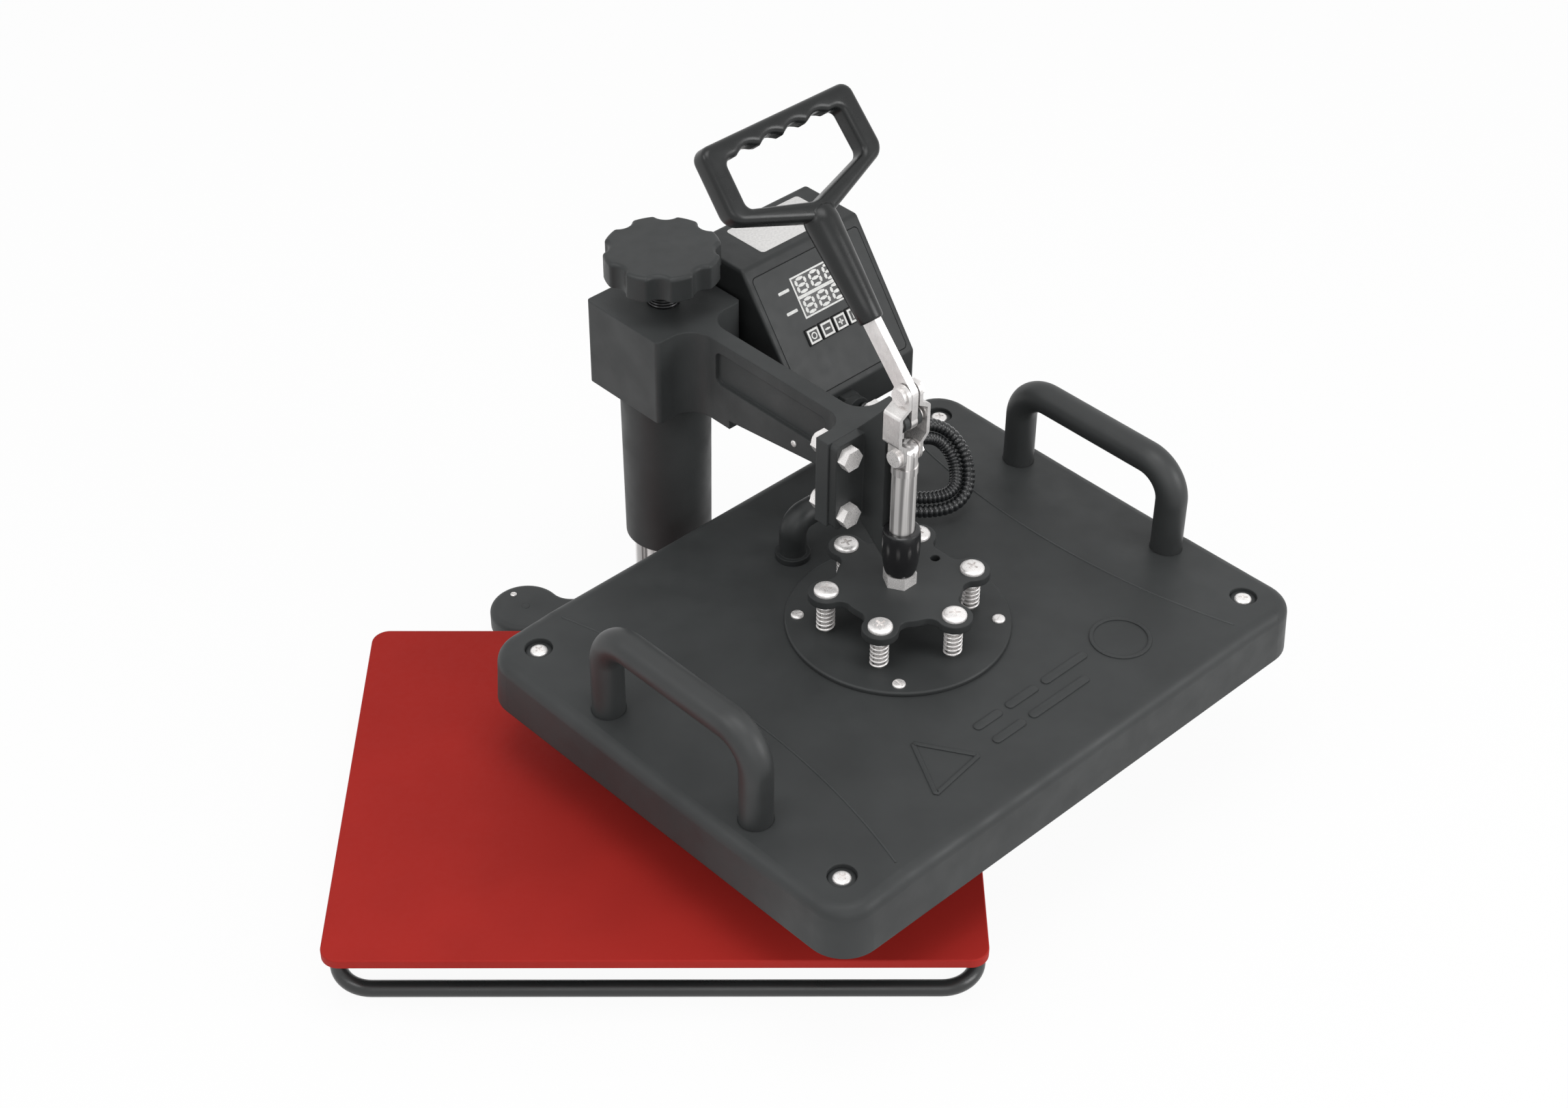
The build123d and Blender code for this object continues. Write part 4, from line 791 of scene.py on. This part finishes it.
class PRESS_OT_conduits(bpy.types.Operator):
    """Model the pair of ribbed conduits between the elbow and the control box"""

    bl_idname = "press.conduits"
    bl_label = "Ribbed conduits"

    route = (
        (14, 120, 158), (28, 120, 158), (51, 127, 152), (76, 155, 146), (101, 164, 145),
        (120, 148, 155), (115, 133, 174), (88, 130, 185), (76, 113, 188), (76, 96, 188),
    )
    # The pair lies side by side, across this direction
    steady = (0.31, 0.73, -0.61)
    spread = 4.3

    # Places along one rib, as shares of its pitch, with the height there
    rib_profile = ((0.0, -0.3), (0.25, 0.6), (0.5, 0.78), (0.75, 0.6))
    rib_height = 0.8
    ring_sides = 18

    def centre_line(self):
        """Points of the smooth line through the route, read from its NURBS spline."""
        curve = bpy.data.curves.new("conduit_route", "CURVE")
        curve.dimensions = "3D"
        curve.resolution_u = 24
        spline = curve.splines.new("NURBS")
        spline.points.add(len(self.route) - 1)
        for point, place in zip(spline.points, self.route):
            point.co = (*head(*place), 1)
        spline.order_u = 3
        spline.use_endpoint_u = True
        holder = bpy.data.objects.new("conduit_route", curve)
        mesh = bpy.data.meshes.new_from_object(holder)
        points = [vert.co.copy() for vert in mesh.vertices]
        bpy.data.meshes.remove(mesh)
        bpy.data.objects.remove(holder)
        bpy.data.curves.remove(curve)
        return points

    def execute(self, context):
        size = sizes()
        line = self.centre_line()
        lengths = [0.0]
        for start, end in zip(line, line[1:]):
            lengths.append(lengths[-1] + (end - start).length)
        ribs = round(lengths[-1] / size.rib_pitch)
        steady = SWING.to_3x3() @ Vector(self.steady)
        per_rib = len(self.rib_profile)
        for side, node in ((-1, "conduit_outer"), (1, "conduit_inner")):
            bm = bmesh.new()
            previous = None
            for step in range(ribs * per_rib + 1):
                share, rise = self.rib_profile[step % per_rib]
                at = min((step // per_rib + share) / ribs, 1.0) * lengths[-1]
                index = max(i for i, value in enumerate(lengths[:-1]) if value <= at)
                part = (at - lengths[index]) / (lengths[index + 1] - lengths[index])
                place = line[index].lerp(line[index + 1], part)
                before = line[max(index - 1, 0)]
                after = line[min(index + 2, len(line) - 1)]
                along = (after - before).normalized()
                across = along.cross(steady).normalized()
                third = along.cross(across)
                turn = Matrix((across, third, along)).transposed().to_4x4()
                middle = place + across * side * self.spread * MM
                ring = bmesh.ops.create_circle(
                    bm, segments=self.ring_sides,
                    radius=size.conduit_radius - (self.rib_height - rise) * MM,
                    matrix=Matrix.Translation(middle) @ turn,
                )["verts"]
                edges = list({edge for vert in ring for edge in vert.link_edges})
                if previous:
                    bmesh.ops.bridge_loops(bm, edges=previous + edges)
                previous = edges
            bmesh.ops.holes_fill(bm, edges=[edge for edge in bm.edges if edge.is_boundary])
            name = f"ribbed_{node}"
            piece = finish_piece(bm, name, material("conduit_plastic"), None, corner=75.0)
            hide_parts(node)
            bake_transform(piece)
        return {"FINISHED"}


class PRESS_OT_panel_marks(bpy.types.Operator):
    """Model the printed frames, digits and key symbols of the control panel"""

    bl_idname = "press.panel_marks"
    bl_label = "Panel marks"

    # All down from the panel's top edge and across from its left edge
    display_tops = (18.0, 31.6)
    digit_left, digit_pitch = 32.6, 11.7
    row_pitch, column_pitch = 4.25, 7.4
    key_left, key_pitch, key_middle = 25.5, 11.6, 56.0

    def frame(self, bm, left, top, width, height, line, lift):
        """A raised rectangular frame on the panel."""
        part = bmesh.new()
        points = ((left, -top - height), (left + width, -top - height), (left + width, -top), (left, -top))
        raised_outline(part, points, line, PRINT_HEIGHT, Matrix.Translation((0, 0, lift * MM)))
        place_part(bm, part, panel_frame())

    def bar(self, bm, across, down, length, width, turn, lift=0):
        """A raised bar with pointed ends, for the segments of a digit."""
        part = bmesh.new()
        bmesh.ops.create_circle(part, cap_ends=True, segments=6, radius=0.5)
        bmesh.ops.scale(part, vec=(length * MM, width * MM * 1.15, 1), verts=part.verts)
        raise_faces(part, part.faces[:], PRINT_HEIGHT * MM)
        place = Matrix.Translation((across * MM, -down * MM, lift * MM)) @ Matrix.Rotation(turn, 4, "Z")
        place_part(bm, part, panel_frame() @ place)

    def display(self, bm, top):
        """The frame and the three digits of one display."""
        self.frame(bm, 30.7, top - 0.6, width=38.2, height=13.7, line=1.1, lift=-0.02)
        for digit in range(3):
            left = self.digit_left + self.digit_pitch * digit
            for row in (0, 1, 2):
                down = top + 2.0 + self.row_pitch * row
                self.bar(bm, left + 5.4, down, length=6.6, width=2.0, turn=0)
            for column in (0, 1):
                across = left + 1.7 + self.column_pitch * column
                for row in (0, 1):
                    down = top + 4.1 + self.row_pitch * row
                    self.bar(bm, across, down, length=4.1, width=2.0, turn=pi / 2)

    def symbol(self, key, centre):
        """The symbol of one key: a ring, a bar, a cross or a triangle."""
        bm = bmesh.new()
        place = Matrix.Translation((centre * MM, -self.key_middle * MM, KEY_FACE * MM))
        if key == "set":
            part = bmesh.new()
            ring = [(2.3 * cos(pi * step / 8), 2.3 * sin(pi * step / 8)) for step in range(16)]
            raised_outline(part, ring, 0.8, PRINT_HEIGHT, place)
            place_part(bm, part, panel_frame())
        if key in ("minus", "plus"):
            self.bar(bm, centre, self.key_middle, length=5.0, width=1.3, turn=0, lift=KEY_FACE)
        if key == "plus":
            self.bar(bm, centre, self.key_middle, length=5.0, width=1.3, turn=pi / 2, lift=KEY_FACE)
        if key == "start":
            part = bmesh.new()
            bmesh.ops.create_circle(part, cap_ends=True, segments=3, radius=2.7 * MM)
            raise_faces(part, part.faces[:], PRINT_HEIGHT * MM)
            turn = Matrix.Rotation(-pi / 2, 4, "Z")
            place_part(bm, part, panel_frame() @ (place @ turn))
        return bm

    def execute(self, context):
        marks = bmesh.new()
        for top in self.display_tops:
            self.display(marks, top)
        for top in (23.4, 37.0):
            plate = raised_plate(9.0, 2.0, PRINT_HEIGHT, round_off=0.6)
            place_part(marks, plate, panel_frame() @ Matrix.Translation((23.0 * MM, -top * MM, 0)))
        finish_piece(marks, "panel_print_marks", material("panel_print"), "arm")
        for number, key in enumerate(("set", "minus", "plus", "start")):
            left = self.key_left + self.key_pitch * number
            bm = bmesh.new()
            self.frame(bm, left + 0.5, 51.5, width=9.0, height=9.0, line=1.3, lift=KEY_FACE)
            finish_piece(bm, f"key_frame_{key}", material("panel_print"), f"{key}_key")
            bm = self.symbol(key, left + 5.0)
            finish_piece(bm, f"key_symbol_{key}", material("panel_print"), f"{key}_key")
        return {"FINISHED"}


class PRESS_OT_label(bpy.types.Operator):
    """Model the blank film label on the control box and the fuse cap behind it"""

    bl_idname = "press.label"
    bl_label = "Blank label and fuse cap"

    def execute(self, context):
        bm = bmesh.new()
        plate = raised_plate(62.0, 34.0, 0.2, round_off=2.5)
        place_part(bm, plate, head_frame(93.0, 6.5, BOX_TOP - 0.02))
        finish_piece(bm, "blank_label", material("label_film"), "arm")
        bm = bmesh.new()
        cap_height = 6.8
        cap = turned_part((
            (0, 0), (6.5, 0), (6.5, 1.5), (5.6, 2.2), (5.0, 2.2), (5.0, 6.0), (4.4, cap_height),
            (0, cap_height),
        ))
        bmesh.ops.recalc_face_normals(cap, faces=cap.faces)
        cut_drive(cap, cap_height, width=1.2, length=6.0, depth=1.2)
        place_part(bm, cap, head_frame(96.5, BOX_BACK + 0.1, 200, Matrix.Rotation(-pi / 2, 4, "X")))
        finish_piece(bm, "fuse_cap", material("gloss_plastic"), "arm")
        return {"FINISHED"}


class PRESS_OT_embossing(bpy.types.Operator):
    """Model the raised blank outlines cast into the platen cover"""

    bl_idname = "press.embossing"
    bl_label = "Raised outlines"

    triangle = ((-94, 330), (-71, 287), (-48, 324))
    ring_radius = 19.0
    bar_rows = ((306, (22, 26, 38)), (321, (26, 50)))
    bars_left, bar_gap = -36.0, 5.0

    def outline(self, points, width, across, forward):
        """One raised outline, softened along its top and set on the cover."""
        part = bmesh.new()
        height = sizes().emboss_height / MM
        raised_outline(part, points, width, height, Matrix())
        tops = [e for e in part.edges if all(v.co.z > height * 0.5 * MM for v in e.verts)]
        bmesh.ops.bevel(
            part, geom=tops, offset=0.3 * MM, segments=2, affect="EDGES", profile=0.5, material=-1
        )
        matrix = head_frame(across, forward, PLATEN_TOP - SUNK)
        bmesh.ops.transform(part, matrix=matrix, verts=part.verts)
        return part

    def crease(self, side):
        """The low bead where one side of the cover begins to slope, in a lighter coat that paints the
        highlight along the fold.
        """
        bm = bmesh.new()
        section = ((-1.0, -0.2), (-0.4, 0.3), (0.4, 0.3), (1.0, -0.2))
        bm.faces.new([bm.verts.new(((CREASE_RADIUS + out) * MM, 0, up * MM)) for out, up in section])
        start = (pi if side > 0 else 0) - radians(CREASE_SPAN / 2)
        bmesh.ops.rotate(bm, verts=bm.verts, cent=(0, 0, 0), matrix=Matrix.Rotation(start, 3, "Z"))
        bmesh.ops.spin(
            bm, geom=bm.verts[:] + bm.edges[:] + bm.faces[:], cent=(0, 0, 0), axis=(0, 0, 1),
            angle=radians(CREASE_SPAN), steps=36, use_duplicate=False,
        )
        matrix = head_frame(side * (CREASE_NEAR + CREASE_RADIUS), ARM_REACH, PLATEN_TOP)
        bmesh.ops.transform(bm, matrix=matrix, verts=bm.verts)
        return bm

    def execute(self, context):
        for side, name in ((-1, "crease_left"), (1, "crease_right")):
            # The beads wear the lighter coat, a painted highlight along the fold
            finish_piece(self.crease(side), name, material("crease_painted_highlight"), "platen")
        bm = bmesh.new()
        centre = Vector((sum(c[0] for c in self.triangle) / 3, sum(c[1] for c in self.triangle) / 3))
        blunt = []
        for index, corner in enumerate(self.triangle):
            here = Vector(corner) - centre
            for other in (self.triangle[index - 1], self.triangle[(index + 1) % 3]):
                blunt.append(here.lerp(Vector(other) - centre, 0.07))
        points = [(p.x, -p.y) for p in reversed(blunt)]
        turns = [pi * step / 24 for step in range(48)]
        ring = [(self.ring_radius * cos(turn), self.ring_radius * sin(turn)) for turn in turns]
        for part in (self.outline(points, 3.0, centre.x, centre.y), self.outline(ring, 2.6, 86, 311)):
            place_part(bm, part, Matrix())
        finish_piece(bm, "raised_outlines", material("charcoal_powder_coat"), "platen")
        bm = bmesh.new()
        for forward, lengths in self.bar_rows:
            across = self.bars_left
            for length in lengths:
                plate = raised_plate(length, 6.0, sizes().emboss_height / MM, round_off=2.6)
                place_part(bm, plate, head_frame(across + length / 2, forward, PLATEN_TOP - SUNK))
                across += length + self.bar_gap
        finish_piece(bm, "raised_bars", material("charcoal_powder_coat"), "platen")
        return {"FINISHED"}


class PRESS_OT_studio(bpy.types.Operator):
    """Set the floor, the lamps, the world and the camera"""

    bl_idname = "press.studio"
    bl_label = "Studio"

    floor_size = 6.0
    floor_glow = 0.94
    world_strength = 0.5
    lamp_target = (0.06, -0.15, 0.15)

    # Each lamp's name, place, size and power
    lamps = (
        ("key", (-1.3, -0.9, 1.7), (0.9, 0.7), 8),
        ("fill", (1.8, -0.7, 0.9), (0.8, 0.8), 13),
        ("front", (0.3, -2.2, 1.3), (1.4, 0.9), 7),
        ("top", (0.1, -0.5, 2.2), (1.4, 0.9), 14),
    )

    # The camera's place, and how far it looks down, turns aside and rolls, in degrees
    camera_place = (0.05694, -1.38318, 1.18233)
    camera_angles = (39.09, 0.78, 0.52)

    def lamp(self, name, place, size, power):
        light = bpy.data.lights.new(name, "AREA")
        light.shape = "RECTANGLE"
        light.size, light.size_y = size
        light.energy = power
        holder = bpy.data.objects.new(name, light)
        bpy.context.scene.collection.objects.link(holder)
        holder.location = place
        aim = Vector(self.lamp_target) - Vector(place)
        holder.rotation_euler = aim.to_track_quat("-Z", "Y").to_euler()

    def seen_directly(self, tree):
        """One for rays from the camera and for reflections, and nothing for the light itself."""
        path = tree.nodes.new("ShaderNodeLightPath")
        either = tree.nodes.new("ShaderNodeMath")
        either.operation = "MAXIMUM"
        tree.links.new(path.outputs["Is Glossy Ray"], either.inputs[0])
        tree.links.new(path.outputs["Is Transmission Ray"], either.inputs[1])
        seen = tree.nodes.new("ShaderNodeMath")
        seen.operation = "MAXIMUM"
        tree.links.new(path.outputs["Is Camera Ray"], seen.inputs[0])
        tree.links.new(either.outputs[0], seen.inputs[1])
        return seen.outputs[0]

    def mix(self, tree, share, lit, seen, output):
        """Send out one shader for the light, and by a share another that is seen."""
        mix = tree.nodes.new("ShaderNodeMixShader")
        tree.links.new(share, mix.inputs["Fac"])
        tree.links.new(lit, mix.inputs[1])
        tree.links.new(seen, mix.inputs[2])
        tree.links.new(mix.outputs["Shader"], tree.nodes[output].inputs["Surface"])

    def make_floor(self, scene):
        bm = bmesh.new()
        bmesh.ops.create_grid(bm, x_segments=8, y_segments=8, size=self.floor_size)
        mesh = bpy.data.meshes.new("floor")
        bm.to_mesh(mesh)
        bm.free()
        floor = bpy.data.objects.new("floor", mesh)
        scene.collection.objects.link(floor)
        pale = bpy.data.materials.new("pale_floor")
        pale.use_nodes = True
        tree = pale.node_tree
        surface = tree.nodes["Principled BSDF"]
        surface.inputs["Base Color"].default_value = (0.86, 0.86, 0.86, 1)
        surface.inputs["Roughness"].default_value = 0.9
        glow = tree.nodes.new("ShaderNodeEmission")
        glow.inputs["Strength"].default_value = 1.0
        share = tree.nodes.new("ShaderNodeMath")
        share.operation = "MULTIPLY"
        share.inputs[1].default_value = self.floor_glow
        tree.links.new(self.seen_directly(tree), share.inputs[0])
        self.mix(tree, share.outputs[0], surface.outputs["BSDF"], glow.outputs["Emission"], "Material Output")
        mesh.materials.append(pale)

    def make_world(self, scene):
        world = bpy.data.worlds.new("studio")
        scene.world = world
        world.use_nodes = True
        tree = world.node_tree
        plain = tree.nodes["Background"]
        plain.inputs["Color"].default_value = (1, 1, 1, 1)
        plain.inputs["Strength"].default_value = self.world_strength
        white = tree.nodes.new("ShaderNodeBackground")
        white.inputs["Color"].default_value = (1, 1, 1, 1)
        seen = self.seen_directly(tree)
        self.mix(tree, seen, plain.outputs["Background"], white.outputs["Background"], "World Output")

    def make_camera(self, scene):
        camera = bpy.data.objects.new("camera", bpy.data.cameras.new("camera"))
        scene.collection.objects.link(camera)
        scene.camera = camera
        camera.data.sensor_fit = "HORIZONTAL"
        camera.data.sensor_width = 36.0
        camera.data.lens = 61.627
        camera.data.clip_end = 50.0
        down, aside, roll = (radians(angle) for angle in self.camera_angles)
        ahead = Vector((sin(aside) * cos(down), cos(aside) * cos(down), -sin(down)))
        right = Vector((cos(aside), -sin(aside), 0))
        up = right.cross(ahead)
        rolled_right = right * cos(roll) + up * sin(roll)
        rolled_up = up * cos(roll) - right * sin(roll)
        turn = Matrix((rolled_right, rolled_up, -ahead)).transposed().to_4x4()
        camera.matrix_world = Matrix.Translation(self.camera_place) @ turn

    def execute(self, context):
        scene = context.scene
        scene.view_settings.view_transform = "Standard"
        self.make_floor(scene)
        self.make_world(scene)
        for name, place, size, power in self.lamps:
            self.lamp(name, place, size, power)
        self.make_camera(scene)
        return {"FINISHED"}


class PRESS_PT_sidebar(bpy.types.Panel):
    bl_label = "Heat press"
    bl_idname = "PRESS_PT_sidebar"
    bl_space_type = "VIEW_3D"
    bl_region_type = "UI"
    bl_category = "Heat press"

    def draw(self, context):
        layout = self.layout
        for operator in OPERATORS:
            layout.operator(operator.bl_idname)
        for group in (context.scene.press_colours, context.scene.press_sizes):
            for name in group.__annotations__:
                layout.prop(group, name)


OPERATORS = (
    PRESS_OT_finishes,
    PRESS_OT_suspension,
    PRESS_OT_lever_handle,
    PRESS_OT_screws,
    PRESS_OT_conduits,
    PRESS_OT_panel_marks,
    PRESS_OT_label,
    PRESS_OT_embossing,
    PRESS_OT_studio,
)
CLASSES = (PressColours, PressSizes, *OPERATORS, PRESS_PT_sidebar)


def register():
    for item in CLASSES:
        bpy.utils.register_class(item)
    bpy.types.Scene.press_colours = PointerProperty(type=PressColours)
    bpy.types.Scene.press_sizes = PointerProperty(type=PressSizes)


def unregister():
    del bpy.types.Scene.press_colours
    del bpy.types.Scene.press_sizes
    for item in reversed(CLASSES):
        bpy.utils.unregister_class(item)


def main():
    register()
    bpy.ops.press.finishes()
    bpy.ops.press.suspension()
    bpy.ops.press.lever_handle()
    bpy.ops.press.screws()
    bpy.ops.press.conduits()
    bpy.ops.press.panel_marks()
    bpy.ops.press.label()
    bpy.ops.press.embossing()
    bpy.ops.press.studio()


if __name__ == "__main__":
    main()
